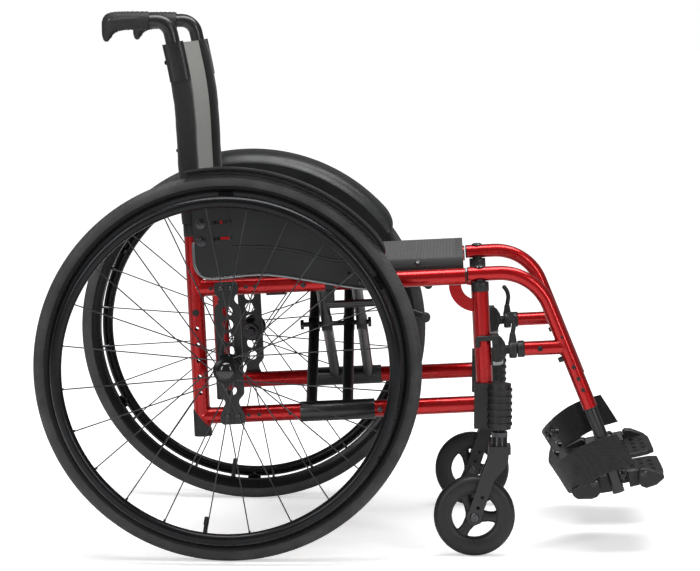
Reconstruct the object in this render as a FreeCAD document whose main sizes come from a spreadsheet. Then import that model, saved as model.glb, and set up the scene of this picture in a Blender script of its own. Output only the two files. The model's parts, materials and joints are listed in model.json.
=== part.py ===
"""Folding manual wheelchair: rigid side frames, cross brace, spoked wheels, swing-away legrests."""
import FreeCAD
import Part
import math
import os
import re

from FreeCAD import Placement, Rotation, Vector

doc = FreeCAD.newDocument("ManualWheelchair")

# ---------------------------------------------------------------- driving dimensions (mm, degrees)
SIZES = [
    # wheels
    ("wheel_dia", 590, "outside diameter of the rear tyre"),
    ("tyre_width", 25, "width of the rear tyre"),
    ("tyre_seat_r", "=wheel_dia / 2 - 21.2", "radius of the rim under the tyre"),
    ("rim_inner_r", "=tyre_seat_r - 11.8", "inner radius of the rim"),
    ("rim_width", 22, "width of the rim"),
    ("handrim_r", "=rim_inner_r - 6.5", "centre radius of the handrim tube"),
    ("handrim_tube_r", 9, "radius of the handrim tube"),
    ("handrim_gap", 38, "handrim centre outboard of the tyre centre"),
    ("spoke_count", 24, "spokes in each rear wheel"),
    ("spoke_r", 1.0, "radius of a spoke"),
    ("flange_r", 20, "radius of the hub flanges"),
    ("barrel_r", 14, "radius of the hub barrel"),
    ("axle_r", 6.35, "radius of the quick-release axle"),
    ("button_r", 13.85, "radius of the quick-release button"),
    ("track_half", "=frame_half + 70", "tyre centre plane from the middle of the chair"),
    # place of the rear axle in the chair's own frame
    ("axle_x", -186.5, "rear axle, fore and aft"),
    ("frame_tilt", 2.85, "nose-up tilt of the frame about the rear axle"),
    # side frames, in frame coordinates with the rear axle at zero
    ("frame_half", 200, "side frame tubes from the middle of the chair"),
    ("tube_r", 12.7, "outside radius of the frame tube"),
    ("tube_wall", 1.6, "wall of the frame tube"),
    ("upright_u", -48.6, "rear upright"),
    ("upright_low", -104, "lower end of the rear upright"),
    ("upright_top", 198, "upper end of the rear upright"),
    ("lower_w", -80.6, "lower side tube"),
    ("upper_w", 117.2, "upper side tube"),
    ("upper_end_u", 365.5, "front end of the upper side tube"),
    ("front_u", 387.8, "front tube"),
    ("front_low", -112, "lower end of the front tube"),
    ("front_top", 93, "upper end of the front tube"),
    ("bushing_height", 14, "swing-away bushing on the front tube"),
    ("lock_u", 243, "wheel lock pivot, fore and aft"),
    ("lock_w", 83, "wheel lock pivot, height"),
    ("hole_pitch", 24.8, "spacing of the holes in the rear upright"),
    ("hole_r", 3.2, "radius of the holes in the tubes"),
    ("plate_thick", 5, "axle plate and bracket thickness"),
    ("plate_gap", 0.1, "space between pieces that are bolted together"),
    ("plate_hole_r", 8, "radius of the axle plate holes"),
    ("plate_pitch", 20.3, "spacing of the axle plate holes"),
    ("guard_thick", 3, "thickness of the side guard"),
    ("guard_r", "=wheel_dia / 2 - 10", "radius of the guard's top edge about the axle"),
    ("fender_r", "=guard_r + 21", "outer radius of the fender"),
    # cross brace
    ("arm_r", 8.5, "radius of the brace tubes"),
    ("sleeve_r", 15.6, "outside radius of the brace sleeve on the lower tube"),
    ("sleeve_u", 103.8, "rear end of the brace sleeve"),
    ("sleeve_length", 114, "length of the brace sleeve"),
    ("brace_pin_r", 4, "radius of the centre bolt"),
    ("cross_w", 31.2, "height of the centre bolt in frame coordinates"),
    ("rail_r", 11, "radius of the seat rails"),
    ("rail_w", "=upper_w + 12.3", "height of the seat rails in frame coordinates"),
    ("rail_half", "=frame_half - tube_r - rail_r - 0.3", "seat rails from the middle of the chair"),
    ("socket_wall", 1.8, "wall of the brace sockets round the rails"),
    ("rail_u", -25, "rear end of the seat rails"),
    ("rail_length", 380, "length of the seat rails"),
    # running clearance, measured on the radius
    ("run_gap", 0.08, "radial clearance of every turning or sliding fit"),
    # back and handles
    ("post_r", "=tube_r - tube_wall - plate_gap", "radius of the back post tube"),
    ("post_low", 150, "lower end of the back post inside the upright"),
    ("lean_w", 414.5, "height where the back post begins to lean"),
    ("handle_u", -67.6, "corner of the push handle, fore and aft"),
    ("handle_w", 528, "corner of the push handle, height"),
    ("grip_r", "=post_r + 2.25", "radius of the push grip"),
    ("grip_length", 72, "length of the push grip"),
    # casters, measured from the axle without the frame's tilt
    ("caster_dia", 125, "diameter of the caster wheel"),
    ("caster_width", 26, "width of the caster wheel"),
    ("spoke_reach", "=caster_dia / 2 - 27", "radius of the openings in the caster wheel"),
    ("caster_hub_r", 13.5, "radius of the caster's hub"),
    ("spoke_wide", 16, "width of a caster spoke"),
    ("spoke_deep", 17, "depth of a caster spoke along the axle"),
    ("caster_x", 375, "caster wheel axle ahead of the rear axle"),
    ("stem_x", 413, "caster stem ahead of the rear axle"),
    ("caster_half", "=frame_half + 15", "caster centre plane from the middle of the chair"),
    ("fork_gap", 31, "space between the legs of the caster fork"),
    ("fork_leg", 6, "thickness of a fork leg"),
    ("fork_top", 172, "top of the fork crown above the floor"),
    ("stem_r", 7, "radius of the caster stem"),
    ("stem_top", 262, "top of the caster stem above the floor"),
    ("housing_low", 197, "lower end of the caster housing above the floor"),
    ("housing_top", 267, "upper end of the caster housing above the floor"),
    ("housing_r", 17.5, "radius of the caster housing barrel"),
    # legrests, in frame coordinates
    ("hanger_r", "=tube_r - 1.6", "radius of the hanger tube"),
    ("hanger_w", "=front_top + bushing_height + hanger_r + 1.5", "height of the hanger's top tube"),
    ("hanger_rear", 17.5, "reach of the hanger behind its swing axis"),
    ("knee_u", 472.5, "corner of the hanger tube"),
    ("knee_radius", 80, "bend of the hanger tube"),
    ("hanger_end_u", 548, "lower end of the hanger, fore and aft"),
    ("hanger_end_w", -93.9, "lower end of the hanger, height"),
    ("latch_w", 1.5, "height of the latch tube"),
    ("latch_u", 450, "rear end of the latch tube"),
    ("extension_r", 9.5, "radius of the footrest extension tube"),
    ("ankle_u", 564.1, "bend in the extension tube, fore and aft"),
    ("ankle_w", -139.4, "bend in the extension tube, height"),
    ("foot_u", 586.5, "lower end of the extension tube, fore and aft"),
    ("foot_w", -226.9, "lower end of the extension tube, height"),
    ("plate_tilt", 11.3, "nose-up tilt of the footplates"),
    ("foot_length", 146, "length of a footplate"),
    ("foot_inner", 22, "inner edge of a footplate from the middle of the chair"),
    ("foot_outer", "=flip_half + 3", "outer edge of a footplate from the middle of the chair"),
    ("foot_thick", 8, "thickness of a footplate"),
    ("foot_x", 595, "middle of a footplate ahead of the rear axle"),
    ("foot_z", "=wheel_dia / 2 - 175", "footplate hinge pin above the floor"),
    ("flip_half", "=frame_half - 17", "footplate hinge pin from the middle of the chair"),
    ("flip_pin_r", 4, "radius of the footplate hinge pin"),
    ("strap_thick", 3, "thickness of the webbing and the slings"),
    # upholstery, in frame coordinates
    ("seat_u", -40, "rear edge of the seat"),
    ("seat_length", 398, "length of the seat"),
    ("seat_half", "=rail_half + rail_r", "half width of the seat"),
    ("back_low", 217, "lower edge of the backrest"),
    ("back_top", 494, "upper edge of the backrest"),
    ("back_sleeve_half", "=post_r + 2.5", "half width of the backrest sleeves round the posts"),
]

sheet = doc.addObject("Spreadsheet::Sheet", "Sizes")
for row, (alias, number, meaning) in enumerate(SIZES, start=1):
    sheet.set(f"A{row}", meaning)
    sheet.set(f"B{row}", str(number))
    sheet.setAlias(f"B{row}", alias)
doc.recompute()


def size(alias):
    """The sheet's value, for shapes that are set by code."""
    return float(sheet.get(alias))


def tie(obj, prop, rule):
    """Bind one property to a rule written with the sheet's aliases."""
    text = re.sub(r"\b([a-z]+(?:_[a-z]+)+)\b", r"Sizes.\1", str(rule))
    obj.setExpression(prop, text)


AXES = {
    "+x": Rotation(Vector(0, 1, 0), 90),
    "-x": Rotation(Vector(0, 1, 0), -90),
    "+y": Rotation(Vector(1, 0, 0), -90),
    "-y": Rotation(Vector(1, 0, 0), 90),
    "+z": Rotation(),
    "-z": Rotation(Vector(1, 0, 0), 180),
}


def place(obj, at, turn=None):
    """Bind an object's position, and set how it is turned."""
    obj.Placement = Placement(Vector(0, 0, 0), turn or Rotation())
    for letter, rule in zip("xyz", at):
        tie(obj, f"Placement.Base.{letter}", rule)
    return obj


def rod(name, radius, length, at, way="+z"):
    """A round bar that starts at a point and runs along one axis."""
    bar = doc.addObject("Part::Cylinder", name)
    tie(bar, "Radius", radius)
    tie(bar, "Height", length)
    return place(bar, at, AXES[way])


def block(name, sides, at, turn=None):
    """A box from its lowest corner."""
    box = doc.addObject("Part::Box", name)
    for prop, rule in zip(("Length", "Width", "Height"), sides):
        tie(box, prop, rule)
    return place(box, at, turn)


def ball(name, radius, at):
    sphere = doc.addObject("Part::Sphere", name)
    tie(sphere, "Radius", radius)
    return place(sphere, at)


def join(name, pieces):
    fused = doc.addObject("Part::MultiFuse", name)
    fused.Shapes = pieces
    return fused


def group(name, pieces):
    """Separate solids kept together in one sub-part."""
    bundle = doc.addObject("Part::Compound", name)
    bundle.Links = pieces
    return bundle


def cut(name, base, *tools):
    """The base with the tools taken away."""
    taken = doc.addObject("Part::Cut", name)
    taken.Base = base
    taken.Tool = tools[0] if len(tools) == 1 else join(name + "_tools", list(tools))
    return taken


def extrusion(name, points, thickness, at, way):
    """A flat outline in the X-Z plane, given thickness along Y."""
    outline = doc.addObject("Part::Feature", name + "_outline")
    corners = [Vector(x, 0, z) for x, z in points]
    outline.Shape = Part.Face(Part.makePolygon(corners + corners[:1]))
    plate = doc.addObject("Part::Extrusion", name)
    plate.Base = outline
    plate.DirMode = "Custom"
    plate.Dir = Vector(0, way, 0)
    plate.Solid = False
    tie(plate, "LengthFwd", thickness)
    return place(plate, at)


def route(points, bends):
    """A path of straight runs joined by tangent arcs."""
    edges = []
    start = points[0]
    for before, corner, after, radius in zip(points, points[1:], points[2:], bends):
        back = (before - corner).normalize()
        ahead = (after - corner).normalize()
        reach = radius / math.tan(back.getAngle(ahead) / 2)
        first = corner + back * reach
        last = corner + ahead * reach
        middle = (back + ahead).normalize()
        centre = corner + middle * math.hypot(radius, reach)
        edges.append(Part.makeLine(start, first))
        edges.append(Part.Arc(first, centre - middle * radius, last).toShape())
        start = last
    edges.append(Part.makeLine(start, points[-1]))
    return Part.Wire(edges)


def bent_tube(name, points, bends, radius, at):
    """A round tube swept along a bent path in the X-Z plane."""
    spine = doc.addObject("Part::Feature", name + "_path")
    spine.Shape = route([Vector(x, 0, z) for x, z in points], bends)
    ring = doc.addObject("Part::Circle", name + "_section")
    tie(ring, "Radius", radius)
    heading = Vector(points[1][0] - points[0][0], 0, points[1][1] - points[0][1])
    ring.Placement = Placement(Vector(points[0][0], 0, points[0][1]), Rotation(Vector(0, 0, 1), heading))
    tube = doc.addObject("Part::Sweep", name)
    tube.Sections = [ring]
    tube.Spine = (spine, [f"Edge{k + 1}" for k in range(len(spine.Shape.Edges))])
    tube.Solid = True
    tube.Frenet = False
    return place(tube, at)


NODES = []


def finish(name, obj, tilted):
    """Give a sub-part its name and its place: with the frame's tilt about the axle, or without."""
    if obj.TypeId in ("Part::Cylinder", "Part::Box", "Part::Sweep", "Part::Extrusion"):
        obj = group(obj.Name + "_piece", [obj])
    obj.Label = name
    if tilted:
        obj.Placement = Placement(Vector(0, 0, 0), Rotation(Vector(0, -1, 0), size("frame_tilt")))
        tie(obj, "Placement.Rotation.Angle", "frame_tilt * 1deg")
    tie(obj, "Placement.Base.x", "axle_x")
    tie(obj, "Placement.Base.z", "wheel_dia / 2")
    NODES.append(obj)


# ---------------------------------------------------------------- side frames
def side_frame(side, way):
    y = f"{way} * frame_half"
    n = side + "_frame_"
    upper_length = "upper_end_u - upright_u"
    lower_length = "front_u - upright_u"
    upright_length = "upright_top - upright_low"
    front_length = "front_top - front_low"
    bore = "tube_r - tube_wall"
    tubes = [
        rod(n + "upper", "tube_r", upper_length, ("upright_u", y, "upper_w"), "+x"),
        rod(n + "lower", "tube_r", lower_length, ("upright_u", y, "lower_w"), "+x"),
        rod(n + "upright", "tube_r", upright_length, ("upright_u", y, "upright_low")),
        rod(n + "front", "tube_r", front_length, ("front_u", y, "front_low")),
    ]
    web_outer, web_inner, web_half = 42, 23, 3
    web_u, web_w = "front_u - 5.8", "upper_w - 13.2"
    web_ring = cut(
        n + "web_ring",
        rod(n + "web_disc", web_outer, 2 * web_half, (web_u, f"{y} - {web_half}", web_w), "+y"),
        rod(n + "web_hole", web_inner, 2 * web_half, (web_u, f"{y} - {web_half}", web_w), "+y"),
    )
    web = doc.addObject("Part::Common", n + "web")
    web.Base = web_ring
    web.Tool = block(
        n + "web_corner",
        (web_outer, 2 * web_half, web_outer),
        (f"{web_u} - {web_outer}", f"{y} - {web_half}", f"{web_w} - {web_outer}"),
    )
    bores = [
        rod(n + "upper_bore", bore, upper_length, ("upright_u", y, "upper_w"), "+x"),
        rod(n + "lower_bore", bore, lower_length, ("upright_u", y, "lower_w"), "+x"),
        rod(n + "upright_bore", bore, upright_length, ("upright_u", y, "upright_low")),
        rod(n + "front_bore", bore, front_length, ("front_u", y, "front_low")),
    ]
    for k in range(-3, 3):
        height = f"lower_w + 111.8 + {k} * hole_pitch"
        at = ("upright_u", f"{y} - tube_r", height)
        bores.append(rod(f"{n}hole_{k + 3}", "hole_r", "2 * tube_r", at, "+y"))
    finish(side + "_side_frame", cut(n + "shell", join(n + "tubes", tubes + [web]), *bores), True)


def axle_plate(side, way):
    n = side + "_plate_"
    start = "frame_half + tube_r + plate_gap"
    y = start if way > 0 else f"-({start}) - plate_thick"
    top, low = size("upper_w"), size("lower_w")
    wide, tab, neck = 19.6, 18.6, 11.6
    flank = [
        (14, top + 10), (tab, top + 6), (tab, top - 4), (neck, top - 14), (neck, top - 20),
        (wide, top - 31), (wide, low + 34), (neck, low + 24), (neck, low + 17), (wide, low - 3),
        (tab, low - 9), (14, low - 12.5),
    ]
    outline = flank + [(-u, w) for u, w in reversed(flank)]
    blank = extrusion(n + "blank", outline, "plate_thick", (0, y, 0), 1)
    holes = [
        rod(f"{n}hole_{k + 2}", "plate_hole_r", "plate_thick", (0, y, f"{k} * plate_pitch"), "+y")
        for k in range(-2, 5)
    ]
    finish(side + "_axle_plate", cut(n + "plate", blank, *holes), True)


def axle_receiver(side, way):
    n = side + "_receiver_"
    turn = "+y" if way > 0 else "-y"
    plate_in = "frame_half + tube_r + plate_gap"
    nut, nut_thick, reach_in, reach_out = 13, 8, 12, 15
    length = f"{reach_in} + {reach_out} + plate_thick"
    start = f"{plate_in} - {reach_in}"
    body = join(n + "solid", [
        rod(n + "sleeve", "plate_hole_r - plate_gap", length, (0, f"{way} * ({start})", 0), turn),
        rod(n + "inner_nut", nut, nut_thick,
            (0, f"{way} * ({plate_in} - plate_gap - {nut_thick})", 0), turn),
        rod(n + "outer_nut", nut, nut_thick,
            (0, f"{way} * ({plate_in} + plate_thick + plate_gap)", 0), turn),
    ])
    bore = rod(n + "bore", "axle_r + run_gap", length, (0, f"{way} * ({start})", 0), turn)
    finish(side + "_axle_receiver", cut(n + "drilled", body, bore), False)


def side_guard(side, way):
    """A flat panel with a fender that curves out over the tyre."""
    n = side + "_guard_"
    inner = size("frame_half") + size("tube_r") + 1.3
    reach = size("guard_r")
    rear = -46
    front_angle = math.radians(33)
    arc_start = math.acos(rear / reach)
    arc_steps = 12
    edge = []
    for k in range(arc_steps + 1):
        angle = arc_start + (front_angle - arc_start) * k / arc_steps
        edge.append((reach * math.cos(angle), reach * math.sin(angle)))
    skirt = [(265, 130), (214.5, 106), (172.5, 114), (123.4, 124.6), (68.4, 134.8), (-12, 132)]
    lift = size("upper_w") - 117.2
    outline = [(rear, 131 + lift)] + edge + [(u, w + lift) for u, w in skirt]
    thick = size("guard_thick")
    panel = extrusion(n + "panel", outline, "guard_thick", (0, way * inner, 0), way)
    rim = size("fender_r")
    skin = [
        (reach - 1, inner), (reach, inner + thick), (rim - 9, inner + 14), (rim - 3, inner + 30),
        (rim, inner + 70),
    ]
    ring = [(radius, depth) for radius, depth in skin]
    under = [(radius - thick, depth + 0.6) for radius, depth in reversed(skin[1:])]
    section = doc.addObject("Part::Feature", n + "section")
    corners = [Vector(radius, way * depth, 0) for radius, depth in ring + under + [(reach - 4, inner)]]
    section.Shape = Part.Face(Part.makePolygon(corners + corners[:1]))
    fender = doc.addObject("Part::Revolution", n + "fender")
    fender.Source = section
    fender.Axis = Vector(0, -1, 0)
    fender.Base = Vector(0, 0, 0)
    fender.Angle = math.degrees(arc_start - front_angle)
    fender.Solid = True
    fender.Placement = Placement(Vector(0, 0, 0), Rotation(Vector(0, -1, 0), math.degrees(front_angle)))
    finish(side + "_side_guard", join(n + "solid", [panel, fender]), True)


def back_post(side, way):
    n = side + "_post_"
    points = [
        (size("upright_u"), size("post_low")), (size("upright_u"), size("lean_w")),
        (size("handle_u"), size("handle_w")), (size("handle_u") - 90, size("handle_w") + 3.2),
    ]
    tube = bent_tube(n + "tube", points, [600, 25], "post_r", (0, f"{way} * frame_half", 0))
    finish(side + "_back_post", tube, True)


def push_grip(side, way):
    n = side + "_grip_"
    y = f"{way} * frame_half"
    slope = Rotation(Vector(0, 1, 0), -90 + math.degrees(math.atan2(3.5, 97.4)))
    mouth = ("handle_u - 28", y, "handle_w + 1")
    barrel = doc.addObject("Part::Cylinder", n + "barrel")
    tie(barrel, "Radius", "grip_r")
    tie(barrel, "Height", "grip_length")
    place(barrel, mouth, slope)
    bore = doc.addObject("Part::Cylinder", n + "bore")
    tie(bore, "Radius", "post_r + plate_gap")
    tie(bore, "Height", "grip_length - 6")
    place(bore, mouth, slope)
    end_u = "handle_u - 28 - grip_length"
    end = ball(n + "end", "grip_r + 0.5", (f"{end_u} + 3", y, "handle_w + 3.5"))
    hook = ball(n + "hook", 7, (f"{end_u} + 8", y, "handle_w - 14"))
    hook_neck = rod(n + "hook_neck", 7, 16, (f"{end_u} + 8", y, "handle_w - 14"))
    body = join(n + "body", [barrel, end, hook, hook_neck])
    finish(side + "_push_grip", cut(n + "solid", body, bore), True)


def caster_housing(side, way):
    n = side + "_housing_"
    y = f"{way} * frame_half"
    stem_y = f"{way} * caster_half"
    low = "housing_low - wheel_dia / 2"
    tall = "housing_top - housing_low"
    ribs, rib_thick = 6, 4
    pieces = [
        block(n + "block", ("stem_x - 374", 36, tall), (374, f"{y} - 18", low)),
        rod(n + "barrel", "housing_r", tall, ("stem_x", stem_y, low)),
    ]
    for k in range(ribs):
        at = ("stem_x", stem_y, f"{low} + 6 + {k} * 10.5")
        pieces.append(rod(f"{n}rib_{k}", "housing_r + 2", rib_thick, at))
    tubes = group(n + "tube_seats", [
        rod(n + "front_seat", "tube_r + plate_gap", "front_top - front_low",
            ("front_u", y, "front_low")),
        rod(n + "lower_seat", "tube_r + plate_gap", "front_u - upright_u",
            ("upright_u", y, "lower_w"), "+x"),
    ])
    tubes.Placement = Placement(Vector(0, 0, 0), Rotation(Vector(0, -1, 0), size("frame_tilt")))
    tie(tubes, "Placement.Rotation.Angle", "frame_tilt * 1deg")
    bore = rod(n + "bore", "stem_r + run_gap", "stem_top + 0.5 - housing_low",
               ("stem_x", stem_y, low))
    finish(side + "_caster_housing", cut(n + "solid", join(n + "body", pieces), tubes, bore), False)


def end_caps(side, way):
    n = side + "_caps_"
    y = f"{way} * frame_half"
    inside = "tube_r - tube_wall - plate_gap"
    bushing = cut(
        n + "bushing",
        join(n + "bushing_body", [
            rod(n + "bushing_head", "tube_r + 0.8", "bushing_height - plate_gap",
                ("front_u", y, "front_top + plate_gap")),
            rod(n + "bushing_liner", inside, "40 + plate_gap", ("front_u", y, "front_top - 40")),
        ]),
        rod(n + "bushing_bore", "8 + run_gap", "60 + bushing_height", ("front_u", y, "front_top - 45")),
    )
    foot = join(n + "foot", [
        rod(n + "foot_head", "tube_r", 7, ("upright_u", y, "upright_low - 7.1")),
        rod(n + "foot_plug", inside, 8, ("upright_u", y, "upright_low - 1")),
    ])
    collar = cut(
        n + "collar",
        rod(n + "collar_body", "tube_r + 0.6", 18, ("upright_u", y, "upright_top + plate_gap")),
        rod(n + "collar_bore", "post_r + plate_gap", 20, ("upright_u", y, "upright_top")),
    )
    tip = join(n + "tip", [
        rod(n + "tip_plug", inside, 14, ("upper_end_u - 14", y, "upper_w"), "+x"),
        rod(n + "tip_head", "tube_r", 1.4, ("upper_end_u + plate_gap", y, "upper_w"), "+x"),
    ])
    finish(side + "_end_caps", group(n + "all", [bushing, foot, collar, tip]), True)


def frame_bolts(side, way):
    """Screw heads on the outside of the frame, one sub-part for the identical fasteners."""
    n = side + "_bolts_"
    turn = "+y" if way > 0 else "-y"
    head_r, head_thick = 4.5, 3.5
    on_plate = "frame_half + tube_r + plate_gap + plate_thick + plate_gap"
    on_tube = "frame_half + tube_r + plate_gap"
    on_guard = "frame_half + tube_r + 1.3 + guard_thick + plate_gap"
    spots = [
        ("top_rear", "-7.8", on_plate, "upper_w"), ("top_front", "7.8", on_plate, "upper_w"),
        ("low_rear", "-8.3", on_plate, "lower_w"), ("low_front", "8.3", on_plate, "lower_w"),
        ("side_front", "226", on_tube, "lower_w"), ("guard_low", "-34", on_guard, "upper_w + 73"),
        ("guard_high", "-34", on_guard, "upper_w + 100"),
    ]
    heads = [
        rod(n + part, head_r, head_thick, (u, f"{way} * ({depth})", w), turn)
        for part, u, depth, w in spots
    ]
    finish(side + "_frame_bolts", group(n + "heads", heads), True)


def rail_receiver(side, way):
    """Two saddles on the upper tube that the seat rail drops into."""
    n = side + "_saddle_"
    length, wall, lip = 30, 3, 1.2
    outer_y = f"{way} * frame_half"
    rail_y = f"{way} * rail_half"
    saddles = []
    for k, start in enumerate((60, 226)):
        cradle = block(f"{n}cradle_{k}", (length, f"2 * (rail_r + {lip} + {wall})", "rail_r + 4"),
                       (start, f"{rail_y} - rail_r - {lip} - {wall}", "rail_w - rail_r - 4"))
        clip = rod(f"{n}clip_{k}", f"tube_r + {wall}", length, (start, outer_y, "upper_w"), "+x")
        tube = rod(f"{n}tube_seat_{k}", "tube_r + plate_gap", length, (start, outer_y, "upper_w"), "+x")
        rail = rod(f"{n}rail_seat_{k}", f"rail_r + {lip}", length, (start, rail_y, "rail_w"), "+x")
        above = block(f"{n}rail_way_{k}", (length, f"2 * (rail_r + {lip})", "3 * rail_r"),
                      (start, f"{rail_y} - rail_r - {lip}", "rail_w"))
        trim = block(f"{n}trim_{k}", (length, 40, "6 * rail_r"),
                     (start, f"{outer_y} - 20 + {way} * 24", "upper_w - 3 * rail_r"))
        body = join(f"{n}body_{k}", [cradle, clip])
        saddles.append(cut(f"{n}solid_{k}", body, tube, rail, above, trim))
    finish(side + "_rail_receiver", group(n + "pair", saddles), True)


def brake_body(side, way):
    """The wheel lock's clamp on the upper tube and the bar that carries its lever."""
    n = side + "_lock_"
    y = f"{way} * frame_half"
    turn = "+y" if way > 0 else "-y"
    bar_r, clamp_u, clamp_length = 6, 151.5, 14
    collar = rod(n + "collar", "tube_r + 2.5", clamp_length, (clamp_u, y, "upper_w"), "+x")
    flat_corner = (f"{clamp_u} - 1", f"{y} - 20 + {way} * 33.2", "upper_w - 12")
    flat = block(n + "flat", (40, 40, 60), flat_corner)
    clamp = cut(n + "clamp", collar, flat)
    drop = block(n + "drop", (12, 10, "tube_r + 26"), (f"{clamp_u} + 1", f"{y} - 5", "lock_w - 5"))
    bar = rod(n + "bar", bar_r, f"lock_u - {clamp_u}", (clamp_u, y, "lock_w"), "+x")
    boss = rod(n + "boss", 7.5, 38, ("lock_u", f"{way} * (frame_half - 8)", "lock_w"), turn)
    seat = rod(n + "seat", "tube_r + plate_gap", clamp_length, (clamp_u, y, "upper_w"), "+x")
    bore = rod(n + "bore", 3, 20, ("lock_u", f"{way} * (frame_half + 10.2)", "lock_w"), turn)
    whole = join(n + "whole", [clamp, drop, bar, boss])
    finish(side + "_brake_body", cut(n + "solid", whole, seat, bore), True)


def brake_lever(side, way):
    """The wheel lock's lever with the peg that presses on the tyre."""
    n = side + "_handle_"
    turn = "+y" if way > 0 else "-y"
    near = "frame_half + 30.5"
    pin = rod(n + "pin", "3 - run_gap", 20, ("lock_u", f"{way} * (frame_half + 12)", "lock_w"), turn)
    boss = rod(n + "boss", 8, 8, ("lock_u", f"{way} * ({near})", "lock_w"), turn)
    arm = block(n + "arm", (66, 6, 9), ("lock_u", f"{way} * ({near} + 4) - 3", "lock_w - 4.5"),
                Rotation(Vector(0, 1, 0), 20))
    peg = rod(n + "peg", 7, 28, ("lock_u + 60", f"{way} * ({near} + 1)", "lock_w - 21"), turn)
    finish(side + "_brake_lever", join(n + "solid", [pin, boss, arm, peg]), True)


# ---------------------------------------------------------------- rear wheels
def ring_of(name, outer, inner, width, centre_y):
    """A flat ring about the axle."""
    return cut(
        name,
        rod(name + "_disc", outer, width, (0, f"{centre_y} - ({width}) / 2", 0), "+y"),
        rod(name + "_hole", inner, width, (0, f"{centre_y} - ({width}) / 2", 0), "+y"),
    )


def hoop(name, big, small, centre_y):
    torus = doc.addObject("Part::Torus", name)
    tie(torus, "Radius1", big)
    tie(torus, "Radius2", small)
    return place(torus, (0, centre_y, 0), AXES["+y"])


def rear_wheel(side, way):
    n = side + "_wheel_"
    y = f"{way} * track_half"
    turn = "+y" if way > 0 else "-y"
    carcass = hoop(n + "carcass", "wheel_dia / 2 - tyre_width / 2", "tyre_width / 2", y)
    seat = rod(n + "seat", "tyre_seat_r + plate_gap", "2 * tyre_width", (0, f"{y} - tyre_width", 0), "+y")
    finish(side + "_tyre", cut(n + "tyre", carcass, seat), False)
    finish(side + "_rim", ring_of(n + "rim", "tyre_seat_r", "rim_inner_r", "rim_width", y), False)

    rail = hoop(n + "handrim", "handrim_r", "handrim_tube_r", f"{way} * (track_half + handrim_gap)")
    start = f"{way} * (track_half + rim_width / 2 + plate_gap)"
    posts = []
    for k in range(6):
        angle = math.radians(30 + 60 * k)
        post = rod(f"{n}standoff_{k}", 4.5, "handrim_gap - rim_width / 2", (
            f"(rim_inner_r + 1) * {math.cos(angle):.6f}", start,
            f"(rim_inner_r + 1) * {math.sin(angle):.6f}"), turn)
        posts.append(post)
    finish(side + "_handrim", join(n + "push_ring", [rail] + posts), False)

    in_y, out_y = size("track_half") - 24, size("track_half") + 20
    spokes = doc.addObject("Part::Feature", n + "spokes")
    wires = []
    count = int(size("spoke_count"))
    for k in range(count):
        angle = 2 * math.pi * (k + 0.5) / count
        lean = angle + (1 if k % 4 < 2 else -1) * math.radians(38)
        flange_y = out_y if k % 2 else in_y
        foot_r = size("flange_r") + 1.3
        foot = Vector(foot_r * math.cos(lean), way * flange_y, foot_r * math.sin(lean))
        head_r = size("rim_inner_r") - 0.5
        head = Vector(head_r * math.cos(angle), way * size("track_half"), head_r * math.sin(angle))
        wires.append(Part.makeCylinder(size("spoke_r"), (head - foot).Length, foot, head - foot))
    spokes.Shape = Part.makeCompound(wires)
    finish(side + "_spokes", spokes, False)

    hub_in, hub_out = "track_half - 28", "track_half + 23"
    hub = join(n + "hub_body", [
        rod(n + "hub_barrel", "barrel_r", f"({hub_out}) - ({hub_in})", (0, f"{way} * ({hub_in})", 0), turn),
        rod(n + "hub_inner", "flange_r", 5, (0, f"{way} * ({hub_in} + 1.5)", 0), turn),
        rod(n + "hub_outer", "flange_r", 5, (0, f"{way} * ({hub_out} - 5.5)", 0), turn),
    ])
    hub_bore = rod(n + "hub_bore", "axle_r + run_gap", f"({hub_out}) - ({hub_in})",
                   (0, f"{way} * ({hub_in})", 0), turn)
    finish(side + "_hub", cut(n + "hub", hub, hub_bore), False)


def quick_release(side, way):
    n = side + "_qr_"
    turn = "+y" if way > 0 else "-y"
    inner = "frame_half - 6"
    outer = "track_half + 23.3"
    shaft = join(n + "body", [
        rod(n + "shaft", "axle_r", f"({outer}) + 2 - ({inner})", (0, f"{way} * ({inner})", 0), turn),
        rod(n + "head", "button_r - 2", 2.5, (0, f"{way} * ({outer})", 0), turn),
    ])
    bore = rod(n + "bore", "3 + run_gap", 40, (0, f"{way} * ({outer} + 2.5 - 30)", 0), turn)
    finish(side + "_quick_release_axle", cut(n + "axle", shaft, bore), False)
    button = join(n + "button", [
        rod(n + "button_stem", 3, 24, (0, f"{way} * ({outer} - 12)", 0), turn),
        rod(n + "button_head", "button_r", 5, (0, f"{way} * ({outer} + 7)", 0), turn),
        rod(n + "button_dome", "button_r - 3", 3.5, (0, f"{way} * ({outer} + 11)", 0), turn),
    ])
    finish(side + "_axle_button", button, False)


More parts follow.
